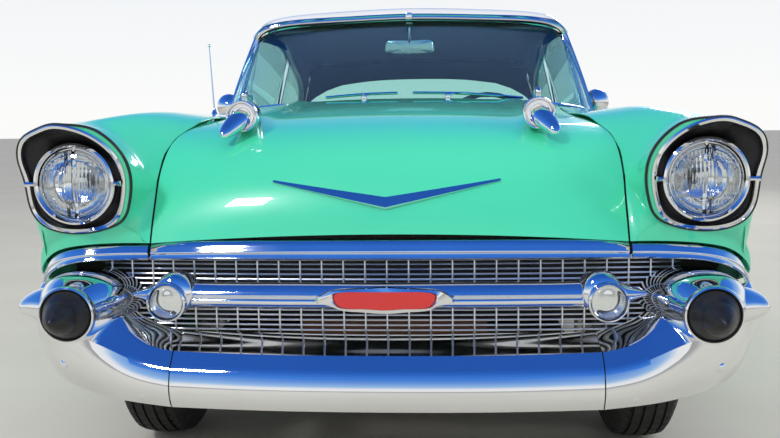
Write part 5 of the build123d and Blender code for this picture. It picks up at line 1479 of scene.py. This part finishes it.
def make_roof_quarters():
    ahead = even([(0, b, z) for b, z in WINDOW_END], 60)
    behind = even([(0, b, z) for b, z in QUARTER_BACK], 60)
    columns = []
    for share in np.linspace(0, 1, 26):
        row = ahead * (1 - share) + behind * share
        row[:, 0] = [quarter_x(b, z) for _, b, z in row]
        columns.append(row)
    grid = np.array(columns)
    inside = grid - (22, 0, 0)
    shell = Shape().grid(grid).grid(inside[:, ::-1])
    for edge in ((grid[0], inside[0]), (grid[-1], inside[-1]), (grid[:, 0], inside[:, 0]),
                 (grid[:, -1], inside[:, -1])):
        shell.grid(edge)
    garnish = sweep(grid[0] - (27, 0, 0), FRAME_BAR, up=LEFT)
    bright = sweep(grid[0] + (0, -2, 0), [(-5, -2), (-4, 5), (4, 5), (5, -2)], up=LEFT)
    lining = Shape().grid(grid[1:, :, :] - (25, 0, 0))
    pair(quarter_glass(), "quarter_glass_", GLASS, replaces=["quarter_windows"], thickness=4.0)
    pair(shell, "rear_quarter_post_", IVORY, sharp=50)
    pair(garnish, "window_garnish_", ENAMEL_WHITE, bevel=2.0)
    pair(bright, "window_end_trim_", CHROME, sharp=40)
    pair(lining, "rear_quarter_lining_", HEADLINER_PAINTED_SHADE, thickness=2.0)


REAR_VIEW = [(0, 0.7), (300, 0.7), (440, 0.69), (520, 0.62), (580, 0.52), (625, 0.4), (650, 0.28)]


def make_rear_header():
    """The roof's rear edge, carried down over the top of the rear glass, outside and inside."""
    glass = pane(REAR_BASE, REAR_TOP, 18)
    roof_end = roof_grid()[-1]
    order = np.argsort(roof_end[:, 0])
    rows_out, rows_in = [], []
    for column in range(glass.shape[1]):
        line = glass[:, column]
        reach = np.interp(abs(line[-1][0]), [x for x, _ in REAR_VIEW], [share for _, share in REAR_VIEW])
        at = np.linspace(0.97, reach, 9) * (len(line) - 1)
        places = np.column_stack([np.interp(at, np.arange(len(line)), line[:, k]) for k in range(3)])
        x = line[-1][0]
        share = x / 632.0
        start = np.array([np.interp(share * 668, roof_end[order, 0], roof_end[order, k])
                          for k in range(3)])
        away = np.array((0.12 * share, 0.62, 0.62))
        outer = np.vstack([start, start * 0.5 + (places[1] + away * 12) * 0.5, places[2:] + away * 12])
        outer[-1] = places[-1] + away * 4
        inner = np.vstack([start + (0, -8, -30), start * 0.5 + places[1] * 0.5 + (0, -18, -24),
                           places[2:] - away * 10])
        rows_out.append(outer)
        rows_in.append(inner)
    outer, inner = np.array(rows_out), np.array(rows_in)
    build(sheet(outer, (0, 1, 1)), "roof_rear_edge", IVORY, thickness=3.0)
    build(sheet(inner, (0, -1, -1)), "roof_rear_lining", HEADLINER_PAINTED_SHADE, thickness=2.0)
    edge = outer[:, -1] + (0, 2, 2)
    build(tube(edge, 6.0, 8), "rear_window_top_trim", CHROME)


# Side glass frames
def make_glass_frames():
    top = through([(758, 1962, 968), (742, 2000, 1090), (716, 2052, 1250), (697, 2092, 1348),
                   (690, 2140, 1363), (689, 2400, 1366), (689, 2600, 1362), (691, 2760, 1340),
                   (697, 2868, 1308)], 90)
    frame_edge = sweep(top, circle(4.5, 8), up=LEFT)
    divider = sweep(through([(773, 2120, 955), (738, 2124, 1130), (699, 2128, 1352)], 20), FRAME_BAR,
                    up=LEFT)
    rear_edge = sweep(through([(774, 2872, 950), (737, 2872, 1130), (701, 2872, 1300)], 20),
                      circle(4.5, 8), up=LEFT)
    pair(joined(frame_edge, divider, rear_edge), "door_glass_frame_", CHROME, "door_", sharp=50)
    quarter_edge = sweep(through([(774, 2892, 950), (737, 2892, 1130), (704, 2892, 1300)], 20),
                         circle(4.5, 8), up=LEFT)
    pair(quarter_edge, "quarter_glass_frame_", CHROME, sharp=50)


# Rear end
REAR_BUMPER = [
    (0, (4985, 560), (5040, 552), (5062, 505), (5070, 440), (5055, 366), (5030, 338), (5000, 334)),
    (300, (4982, 560), (5037, 552), (5059, 505), (5067, 440), (5052, 366), (5027, 338), (4997, 334)),
    (500, (4975, 560), (5030, 552), (5052, 505), (5060, 440), (5045, 366), (5020, 338), (4990, 334)),
    (660, (4950, 580), (5008, 572), (5036, 520), (5044, 446), (5026, 368), (5000, 341), (4972, 337)),
    (760, (4930, 600), (4985, 592), (5012, 532), (5018, 450), (5000, 370), (4975, 344), (4950, 340)),
    (850, (4922, 612), (4958, 605), (4984, 540), (4990, 456), (4974, 378), (4956, 356), (4934, 350)),
    (896, (4905, 618), (4928, 611), (4944, 545), (4949, 460), (4938, 386), (4925, 369), (4912, 363)),
    (924, (4862, 618), (4872, 611), (4878, 545), (4880, 460), (4876, 392), (4870, 378), (4862, 371)),
    (930, (4792, 616), (4795, 609), (4798, 545), (4799, 460), (4797, 397), (4795, 386), (4792, 378)),
]


def make_rear_bumper():
    rows = bumper_rows(REAR_BUMPER[:0:-1], -1) + bumper_rows(REAR_BUMPER, 1)
    grid = loft(rows, 150, 5, creases=(1, 5))
    build(sheet(grid, (0, 1, 0)), "rear_bumper_bar", CHROME, replaces=["rear_bumper"], thickness=4.0,
          sharp=28)
    rings = []
    turns = np.linspace(0, 2 * pi, 24, endpoint=False)
    for z, back, half, deep in ((350, 5040, 16, 14), (372, 5058, 26, 14), (440, 5068, 30, 12),
                                (520, 5060, 28, 16), (575, 5042, 24, 22), (600, 5026, 16, 20),
                                (606, 5018, 6, 10)):
        rings.append([(500 + half * cos(t), back - 12 + deep * sin(t), z) for t in turns])
    guard = closed_loft(rings, 36, 2)
    guard[:, :, 1] = np.minimum(guard[:, :, 1], 5078)
    pair(capped(guard), "rear_bumper_guard_", CHROME, sharp=50)


def oval_rings(rows):
    return [oval(x, back, z, half_x, half_z, 48) for back, x, z, half_x, half_z in rows]


def make_tail_lamps():
    bezel = oval_rings([(4900, 826, 688, 36, 90), (4968, 826, 688, 38, 92), (4992, 826, 688, 37, 91),
                        (4998, 826, 688, 34, 86), (4996, 826, 688, 30, 80), (4984, 826, 688, 28, 77),
                        (4980, 826, 688, 28, 77)])
    shape = Shape().grid(bezel, wrap_columns=True)
    lens = oval_rings([(4972, 826, 706, 28, 60), (4990, 826, 706, 28, 60), (5000, 826, 706, 25, 56),
                       (5008, 826, 706, 19, 47), (5013, 826, 706, 10, 30), (5014, 826, 706, 0.5, 4)])
    red = Shape().grid(lens, wrap_columns=True).cap(lens[0])
    lens = oval_rings([(4972, 826, 627, 24, 20), (4990, 826, 627, 24, 20), (4998, 826, 627, 18, 14),
                       (5001, 826, 627, 0.5, 1)])
    white = Shape().grid(lens, wrap_columns=True).cap(lens[0])
    back_plate = Shape().cap(oval_rings([(4976, 826, 688, 29, 78)])[0])
    bar = sweep([(798, 4996, 648), (826, 5004, 648), (854, 4996, 648)],
                [(-4, -10), (-4, 3), (4, 3), (4, -10)], up=BACK)
    pair(joined(shape, bar), "tail_lamp_bezel_", CHROME, sharp=40)
    pair(back_plate, "tail_lamp_plate_", SATIN)
    pair(red, "tail_lamp_lens_", RED_LENS, replaces=["tail_lamps"], sharp=50)
    pair(white, "backing_lamp_lens_", CLEAR, sharp=50)
    path = []
    for back in np.linspace(4250, 4984, 50):
        x, z = crest_line(min(back, 4974))
        path.append((x, back, z + 1))
    path += [(832, 4996, 985), (829, 5000, 930), (827, 5000, 860), (826, 4999, 785)]
    fin = sweep(through(path, 90), [(-6, -3), (-5, 3), (0, 6), (5, 3), (6, -3)], up=(0, 1, 0.9))
    pair(fin, "fin_trim_", CHROME, sharp=45)
    band = sweep(through([(-560, 4964, 672), (-300, 4981, 668), (0, 4988, 666), (300, 4981, 668),
                          (560, 4964, 672)], 60), [(-9, -4), (-8, 4), (0, 8), (8, 4), (9, -4)], up=BACK,
                 scale=ending(60, True, True, 8))
    build(band, "trunk_band", CHROME, "trunk_lid", sharp=35)
    handle = sweep(through([(-62, 4972, 744), (-30, 4984, 742), (0, 4988, 741), (30, 4984, 742),
                            (62, 4972, 744)], 30), circle(9, 14) * (1.0, 0.8), up=BACK,
                   scale=ending(30, True, True, 7))
    build(handle, "trunk_handle", CHROME, "trunk_lid")


# Wheels and tyres, about the middle of the wheel: radius and how far out along the axle
WHEELS = (("front_left", 1, FRONT_AXLE, TRACK_FRONT), ("front_right", -1, FRONT_AXLE, TRACK_FRONT),
          ("rear_left", 1, REAR_AXLE, TRACK_REAR), ("rear_right", -1, REAR_AXLE, TRACK_REAR))
RIM_PROFILE = [
    (150, 8), (164, 14), (170, 30), (171, 58), (176, 70), (184, 74), (185.5, 70), (184, 62), (175, 54),
    (166, 34), (150, 22), (150, -22), (166, -34), (175, -54), (184, -64), (185.5, -72), (182, -74),
    (172, -70), (164, -44), (146, -30),
]
COVER_PROFILE = [
    (172, 60), (171, 66), (166, 70), (160, 68), (150, 60), (138, 54), (122, 52), (106, 55), (96, 62),
    (90, 72), (84, 76), (76, 74), (68, 70), (58, 71), (46, 78), (30, 84), (14, 87), (0.1, 88),
]
HUB = (0, 0, 0)
TREAD_COUNT = 54
TREAD_GROOVES = (-46.0, -16.0, 16.0, 46.0)


def tyre_shape():
    """A tyre with a ribbed tread, cut across in blocks."""
    profile = [(187, -64), (192, -72), (204, -80), (222, -91), (238, -95.5), (250, -97), (262, -97),
               (276, -94.5), (290, -91), (303, -87), (314, -82), (322, -77), (329, -71)]
    widths = [-68, -64, -58, -52, -49.8, -49.5, -42.5, -42.2, -36, -30, -24, -19.8, -19.5, -12.5, -12.2,
              -6]
    widths += [0] + [-w for w in reversed(widths)]
    tread = [(342 - 9 * (abs(w) / 68) ** 2.6, w) for w in widths]
    whole = profile + tread + [(r, -w) for r, w in reversed(profile)]
    radii = np.array([r for r, _ in whole])
    out = np.array([w for _, w in whole])
    grooved = np.zeros(len(whole), bool)
    for middle in TREAD_GROOVES:
        grooved |= np.abs(out - middle) < 3.6
    grooved &= radii > 325
    steps = 6
    count = TREAD_COUNT * steps
    rings = []
    for index in range(count):
        turn = 2 * pi * index / count
        phase = index % steps
        r = radii.copy()
        r[grooved] -= 8.0
        shoulder = (np.abs(out) > 50) & (radii > 300) & (radii < 342)
        if phase in (0, 1):
            r[shoulder] -= 6.5
        if phase == 4:
            r[(np.abs(out) > 20) & (np.abs(out) < 42) & (radii > 325)] -= 3.0
        if phase == 2:
            r[(np.abs(out) < 12) & (radii > 325)] -= 2.0
        rings.append(np.column_stack([out, r * cos(turn), r * sin(turn)]))
    shape = Shape().grid(rings, wrap_rows=True)
    bead = [np.array([[-64 if side < 0 else 64, 187 * cos(2 * pi * i / count),
                       187 * sin(2 * pi * i / count)] for i in range(count)]) for side in (-1, 1)]
    shape.grid(bead, wrap_columns=True)
    return shape


def sidewall_rings():
    """Raised rings on the tyre's outer side."""
    rings = Shape()
    for radius, width in ((228, 92.5), (268, 96.5), (292, 91.5)):
        rings.join(turned([(radius - 2.5, width - 1.5), (radius - 1.5, width + 1.0),
                           (radius + 1.5, width + 1.0), (radius + 2.5, width - 1.5)], HUB, 120, axis=LEFT,
                          closed=True))
    return rings


def cover_shape():
    """A wheel cover with a dished middle and raised vanes round its edge."""
    shape = turned(COVER_PROFILE, HUB, 144, axis=LEFT)
    for index in range(24):
        turn = 2 * pi * index / 24
        away, across = np.array((0, cos(turn), sin(turn))), np.array((0, -sin(turn), cos(turn)))
        path = [away * 112 + (54.0, 0, 0), away * 130 + across * 2 + (56.5, 0, 0),
                away * 148 + across * 3 + (61.5, 0, 0)]
        shape.join(sweep(path, [(-6, -3), (-4, 2.5), (0, 4.5), (4, 2.5), (6, -3)], up=LEFT,
                         scale=(0.5, 1.0, 0.9)))
    return shape


def make_wheels():
    tyre, rings, cover = tyre_shape(), sidewall_rings(), cover_shape()
    rim = turned(RIM_PROFILE, HUB, 144, axis=LEFT, closed=True)
    disc = turned([(150, 20), (150, 8), (128, 18), (96, 30), (60, 26), (30, 22), (30, 26), (60, 31),
                   (96, 36), (128, 24)], HUB, 96, axis=LEFT, closed=True)
    valve = tube([(58, 0, -158), (70, 0, -156), (82, 0, -150)], 3.5, 10, up=BACK)
    for name, sign, back, track in WHEELS:
        place = (track / 2, back, TYRE_RADIUS)
        for shape, part, finish, nodes in ((tyre, "tread", TYRE, ["tyre_" + name]),
                                           (rings, "side_rings", TYRE, ()),
                                           (rim, "rim", GREEN, ["wheel_" + name]),
                                           (cover, "cover", CHROME, ()), (disc, "disc", GREEN, ()),
                                           (valve, "valve", RUBBER, ())):
            build(by_hand(shape.moved(place), sign), f"wheel_{part}_{name}", finish, "wheel_" + name,
                  nodes, sharp=40)


# Interior: soft pieces
def rounded_block(outline, half, crown, across=40):
    """A side-view outline carried across the car, pulled in at the ends and crowned."""
    line = even([(0, b, z) for b, z in outline], 56, closed=True)[:, 1:]
    middle = line.mean(axis=0)
    rings = []
    for share in np.linspace(-1, 1, across):
        edge = abs(share) ** 6
        size = 1.0 - 0.16 * edge + crown * (1 - share ** 2)
        ring = middle + (line - middle) * size
        rings.append(np.column_stack([np.full(len(line), share * half), ring[:, 0], ring[:, 1]]))
    for sign, ring in ((-1, rings[0].copy()), (1, rings[-1].copy())):
        cap_line = ring[:, 1:].mean(axis=0)
        for size, push in ((0.9, 8), (0.6, 13), (0.2, 15)):
            inner = np.column_stack([np.full(len(line), sign * (half + push)),
                                     cap_line[0] + (ring[:, 1] - cap_line[0]) * size,
                                     cap_line[1] + (ring[:, 2] - cap_line[1]) * size])
            if sign < 0:
                rings.insert(0, inner)
            else:
                rings.append(inner)
    return capped(rings)


def tufted(piece, spacing, depth, along):
    """Presses sewn channels into a cushion's faces, spaced across the car."""
    mesh = piece.data
    count = len(mesh.vertices)
    places = np.zeros(count * 3)
    mesh.vertices.foreach_get("co", places)
    places = places.reshape(-1, 3)
    normals = np.zeros(count * 3)
    mesh.vertices.foreach_get("normal", normals)
    normals = normals.reshape(-1, 3)
    phase = places[:, 0] / MM / spacing
    dip = np.exp(-((phase - np.round(phase)) * spacing / 7.0) ** 2)
    facing = np.clip(normals @ np.asarray(along, float), 0, 1)
    places -= normals * (dip * facing * depth * MM)[:, None]
    mesh.vertices.foreach_set("co", places.reshape(-1))
    mesh.update()


CLOTH_FRAMES = 20


def puffed(piece, voxel=0.016, pressure=4.0, cap=0.018):
    """Lets a cushion swell as cloth does, and keeps the result as its mesh."""
    modifier = piece.modifiers.new("grid", "REMESH")
    modifier.mode = "VOXEL"
    modifier.voxel_size = voxel
    settle(piece)
    start = np.zeros(len(piece.data.vertices) * 3)
    piece.data.vertices.foreach_get("co", start)
    cloth_modifier = piece.modifiers.new("cloth", "CLOTH")
    settings = cloth_modifier.settings
    settings.use_pressure = True
    settings.uniform_pressure_force = pressure
    settings.quality = 5
    settings.tension_stiffness = 25
    settings.compression_stiffness = 25
    settings.bending_stiffness = 2.0
    settings.effector_weights.gravity = 0
    cloth_modifier.point_cache.frame_start = 1
    cloth_modifier.point_cache.frame_end = CLOTH_FRAMES
    for step in range(1, CLOTH_FRAMES + 1):
        bpy.context.scene.frame_set(step)
    settle(piece)
    bpy.context.scene.frame_set(1)
    ended = np.zeros(len(piece.data.vertices) * 3)
    piece.data.vertices.foreach_get("co", ended)
    if len(ended) == len(start):
        move = (ended - start).reshape(-1, 3)
        length = np.linalg.norm(move, axis=1)[:, None]
        move *= np.minimum(1.0, cap / np.maximum(length, 1e-9))
        piece.data.vertices.foreach_set("co", (start.reshape(-1, 3) + move).reshape(-1))
    piece.data.update()


def settle(piece):
    """Applies the modifiers of a piece and keeps its material."""
    graph = bpy.context.evaluated_depsgraph_get()
    settled = bpy.data.meshes.new_from_object(piece.evaluated_get(graph))
    piece.modifiers.clear()
    piece.data = settled


# Seat cushions: name, outline of (back, z) places, half width, the side that is tufted, replaced nodes
CUSHIONS = (
    ("front_cushion", [(2262, 486), (2330, 482), (2690, 484), (2704, 520), (2696, 584), (2560, 618),
                       (2330, 638), (2268, 612), (2254, 545)], 618, (0, 0, 1), ["front_seat"]),
    ("front_backrest", [(2640, 604), (2694, 600), (2800, 720), (2862, 930), (2852, 962), (2826, 972),
                        (2794, 958), (2710, 770)], 618, (0, -0.95, 0.3), ()),
    ("rear_cushion", [(3142, 532), (3300, 524), (3540, 524), (3552, 580), (3520, 612), (3400, 630),
                      (3200, 640), (3144, 614)], 560, (0, 0, 1), ["rear_seat"]),
    ("rear_backrest", [(3512, 606), (3610, 604), (3672, 760), (3698, 870), (3694, 906), (3676, 918),
                       (3660, 910), (3588, 770)], 560, (0, -0.95, 0.3), ()),
)

WELT = [(2268, 636), (2330, 643), (2560, 624), (2690, 590)]


def make_seats():
    for name, outline, half, facing, nodes in CUSHIONS:
        piece = build(rounded_block(outline, half, 0.02), name, VINYL, replaces=nodes)
        puffed(piece)
        tufted(piece, 84.0, 9.0, facing)
        finer = piece.modifiers.new("finer", "SUBSURF")
        finer.levels = 1
        settle(piece)
        piece.data.materials.clear()
        piece.data.materials.append(VINYL)
        for face in piece.data.polygons:
            face.use_smooth = True
    for name, back, z0, z1, half in (("front_seat_base", (2290, 2670), 392, 486, 590),
                                     ("rear_seat_base", (3150, 3540), 480, 528, 540)):
        base = box_shape(-half, half, back[0], back[1], z0, z1)
        build(base, name, VINYL, bevel=8.0)
    welt = Shape()
    for sign in (-1, 1):
        welt.join(tube(through([(sign * 620, b, z - 6) for b, z in WELT], 40), 4.0, 8))
    build(welt, "front_seat_welt", IVORY_VINYL)


def make_dashboard():
    rows = []
    for x in np.linspace(-735, 735, 41):
        pull = 18 * (abs(x) / 735) ** 3
        eyebrow = 22 * np.exp(-((x - 340) / 130.0) ** 4)
        rows.append([(x, 1534, 985), (x, 1620, 992 - pull * 0.3),
                     (x, 1684 - pull + eyebrow * 0.9, 990 + eyebrow * 0.3),
                     (x, 1700 - pull + eyebrow, 976), (x, 1694 - pull + eyebrow * 0.4, 958),
                     (x, 1676 - pull, 935), (x, 1684 - pull, 880), (x, 1690 - pull, 850),
                     (x, 1680 - pull, 822), (x, 1655, 800), (x, 1600, 780), (x, 1534, 800)])
    grid = loft(rows, 120, 3, creases=(3,))
    build(capped(grid, wrap_columns=False), "dashboard_shell", DASH, replaces=["dashboard"], sharp=40)
    strip = sweep(through([(x, 1697 - 18 * (abs(x) / 700) ** 3, 866) for x in np.linspace(-690, 150, 20)],
                          60), [(-22, -6), (-20, 2), (20, 2), (22, -6)], up=BACK)
    build(strip, "dashboard_band", RIBBED_SILVER, sharp=40)
    for x, radius, z in ((340, 62, 905), (232, 38, 890), (448, 38, 890)):
        centre = (x, 1702, z)
        bezel = turned([(radius, -16), (radius, 2), (radius - 3, 6), (radius - 8, 5), (radius - 11, -4)],
                       centre, axis=(0, 1, 0.15), closed=True)
        face = turned([(0.1, -2), (radius - 9, -2), (radius - 9, -5)], centre, axis=(0, 1, 0.15))
        needle = sweep([(x, 1704, z - 4), (x - radius * 0.35, 1704, z + radius * 0.55)],
                       [(-1.6, 0), (1.6, 0), (0, 2)], up=BACK)
        build(bezel, f"gauge_bezel_{int(x)}", CHROME)
        build(face, f"gauge_face_{int(x)}", IVORY, slot="dash_paint")
        build(needle, f"gauge_needle_{int(x)}", ENAMEL_RED)
    knobs = Shape()
    for x, z in ((180, 830), (140, 832), (-60, 832), (-100, 832), (60, 880), (-20, 880), (500, 840),
                 (540, 840)):
        knobs.join(turned([(0.1, 24), (8, 22), (10, 16), (9, 8), (5, 4), (5, -8)], (x, 1690, z), 28))
    radio = sweep(through([(-40, 1695, 905), (100, 1695, 905)], 6),
                  [(-18, -6), (-18, 4), (18, 4), (18, -6)], up=BACK)
    build(joined(knobs, radio), "dashboard_knobs", CHROME, sharp=40)


def make_steering():
    foot, top = np.array((340.0, 1504.0, 620.0)), np.array((340.0, 1990.0, 888.9))
    axis = (top - foot) / np.linalg.norm(top - foot)
    centre = top + axis * 54
    column = turned([(24, 0), (24, 380), (30, 400), (32, 470), (28, 505), (22, 540)], foot + axis * 4, 48,
                    axis=axis)
    stalk = tube([foot + axis * 470 + (-28, 0, 0), foot + axis * 480 + (-110, 14, 30),
                  foot + axis * 485 + (-170, 20, 46)], 4, 10, scale=(1.2, 1, 1))
    ball = turned([(0.1, 9), (6, 7), (9, 0), (6, -7), (0.1, -9)], foot + axis * 485 + (-172, 20, 47), 24,
                  axis=LEFT)
    build(joined(column, stalk, ball), "steering_column_tube", DASH, replaces=["steering_column"],
          sharp=40)
    one = np.array((1.0, 0, 0))
    two = np.cross(axis, one)
    turns = np.linspace(0, 2 * pi, 121)[:-1]
    rim_path = np.array([centre + 205 * (cos(t) * one + sin(t) * two) for t in turns])
    section = circle(10.5, 14)
    rings = []
    for t, place in zip(turns, rim_path):
        away = cos(t) * one + sin(t) * two
        bump = 1.0 + 0.05 * cos(24 * t)
        rings.append([place + bump * (a * away + b * axis) for a, b in section])
    rim = Shape().grid(rings, wrap_rows=True, wrap_columns=True)
    spokes = Shape()
    for sign in (-1, 1):
        path = through([centre + one * sign * 24 - axis * 14,
                        centre + one * sign * 110 - axis * 10 - two * 8, centre + one * sign * 198], 20)
        spokes.join(sweep(path, [(-12, -4), (-10, 4), (10, 4), (12, -4)], up=axis,
                          scale=np.linspace(1.2, 0.8, 20)))
    hub = turned([(30, -50), (34, -20), (38, -8), (36, 4), (30, 9), (24, 10), (14, 15), (0.1, 17)], centre,
                 axis=axis)
    horn = []
    for share in np.linspace(0, 1, 60):
        t = pi * (1.08 + 0.84 * share)
        horn.append(centre + 150 * (cos(t) * one + sin(t) * two * 0.86) + axis * 2)
    horn_ring = tube(np.array(horn), 4.0, 10, up=axis)
    build(joined(rim, spokes), "steering_wheel_rim", PLASTIC, "steering_wheel", ["steering_wheel"],
          sharp=50)
    build(joined(hub, horn_ring), "steering_wheel_hub", CHROME, "steering_wheel", sharp=50)


def make_trim_panels():
    """Door cards, arm rests and cranks, and the panels beside the rear seat."""
    rows = []
    for z in np.linspace(395, 925, 24):
        rows.append([(786 - 6 * sin((z - 395) / 530 * pi) - (1.5 if 640 < z < 660 else 0), b, z)
                     for b in np.linspace(1690, 2840, 40)])
    rows = np.array(rows)
    pleats = np.abs(np.sin(rows[:, :, 1] / 40.0 * pi / 2))
    rows[:, :, 0] -= pleats * np.where((rows[:, :, 2] > 660) & (rows[:, :, 2] < 850), 3.0, 0.0)
    pair(sheet(rows, (-1, 0, 0)), "door_card_", VINYL, "door_", thickness=3.0)
    rest = sweep(through([(760, 2330, 690), (752, 2480, 700), (760, 2640, 700)], 20),
                 even([(-26, -16, 0), (-26, 10, 0), (0, 18, 0), (26, 10, 0), (26, -16, 0)], 24,
                      closed=True)[:, :2], scale=ending(20, True, True, 4))
    pair(rest, "arm_rest_", VINYL, "door_")
    crank = turned([(0.1, -10), (12, -9), (16, -4), (16, 2), (22, 6)], (778, 2230, 640), 32, axis=LEFT)
    arm = tube([(772, 2230, 640), (764, 2270, 668), (762, 2296, 688)], 5, 10, up=LEFT)
    knob = turned([(0.1, -26), (7, -24), (9, -14), (7, 0)], (766, 2298, 690), 24, axis=LEFT)
    lever = sweep(through([(770, 1960, 700), (762, 2000, 708), (762, 2060, 706)], 12),
                  circle(5, 10) * (1.0, 0.6), up=LEFT)
    pair(crank.join(arm, knob, lever), "door_crank_", CHROME, "door_", sharp=45)
    panel = []
    for z in np.linspace(470, 925, 20):
        panel.append([(772 - 5 * sin((z - 470) / 455 * pi), b, z) for b in np.linspace(2950, 3560, 24)])
    pair(sheet(panel, (-1, 0, 0)), "rear_side_panel_", VINYL, thickness=3.0)


def make_carpet():
    for name, start, end in (("carpet_front", 1560, 2290), ("carpet_rear", 2660, 3160)):
        rows = []
        for back in np.linspace(start, end, 30):
            rows.append([(x, back, 369 + 66 * np.exp(-(x / 150.0) ** 4))
                         for x in np.linspace(-770, 770, 60)])
        build(sheet(rows, (0, 0, 1)), name, CARPET, thickness=5.0)


# Pieces of the frame that keep their own shape, and their finishes
KEPT = {"cowl": GREEN, "rear_panels": GREEN, "inner_fenders": CHASSIS, "radiator": CHASSIS, "engine": IRON,
        "frame_rails": CHASSIS, "crossmembers": CHASSIS, "firewall": CHASSIS, "floor_pan": CHASSIS,
        "trunk_floor": CHASSIS, "suspension": CHASSIS, "rear_axle": CHASSIS, "knuckle_left": STEEL,
        "knuckle_right": STEEL, "exhaust": STEEL, "fuel_tank": STEEL, "package_shelf": HEADLINER_PAINTED_SHADE,
        "door_glass_left": GLASS, "door_glass_right": GLASS}


def finish_kept_nodes():
    for name, finish in KEPT.items():
        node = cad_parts[name]
        node.data.materials.clear()
        node.data.materials.append(finish)
        if finish is not GLASS:
            round_edges(node, 1.2)


make_fenders()
make_hood()
make_trunk_lid()
make_doors()
make_quarters()
make_roof()
make_windows()
make_headlamps()
make_lip_bar()
make_fender_mouldings()
make_grille()
make_crossbar()
make_crest()
make_front_bumper()
make_chevron()
make_sights()
make_wipers()
make_antenna()
make_mirrors()
make_side_trim()
make_roof_trim()
make_roof_quarters()
make_rear_header()
make_glass_frames()
make_rear_bumper()
make_tail_lamps()
make_wheels()
make_seats()
make_dashboard()
make_steering()
make_trim_panels()
make_carpet()
finish_kept_nodes()
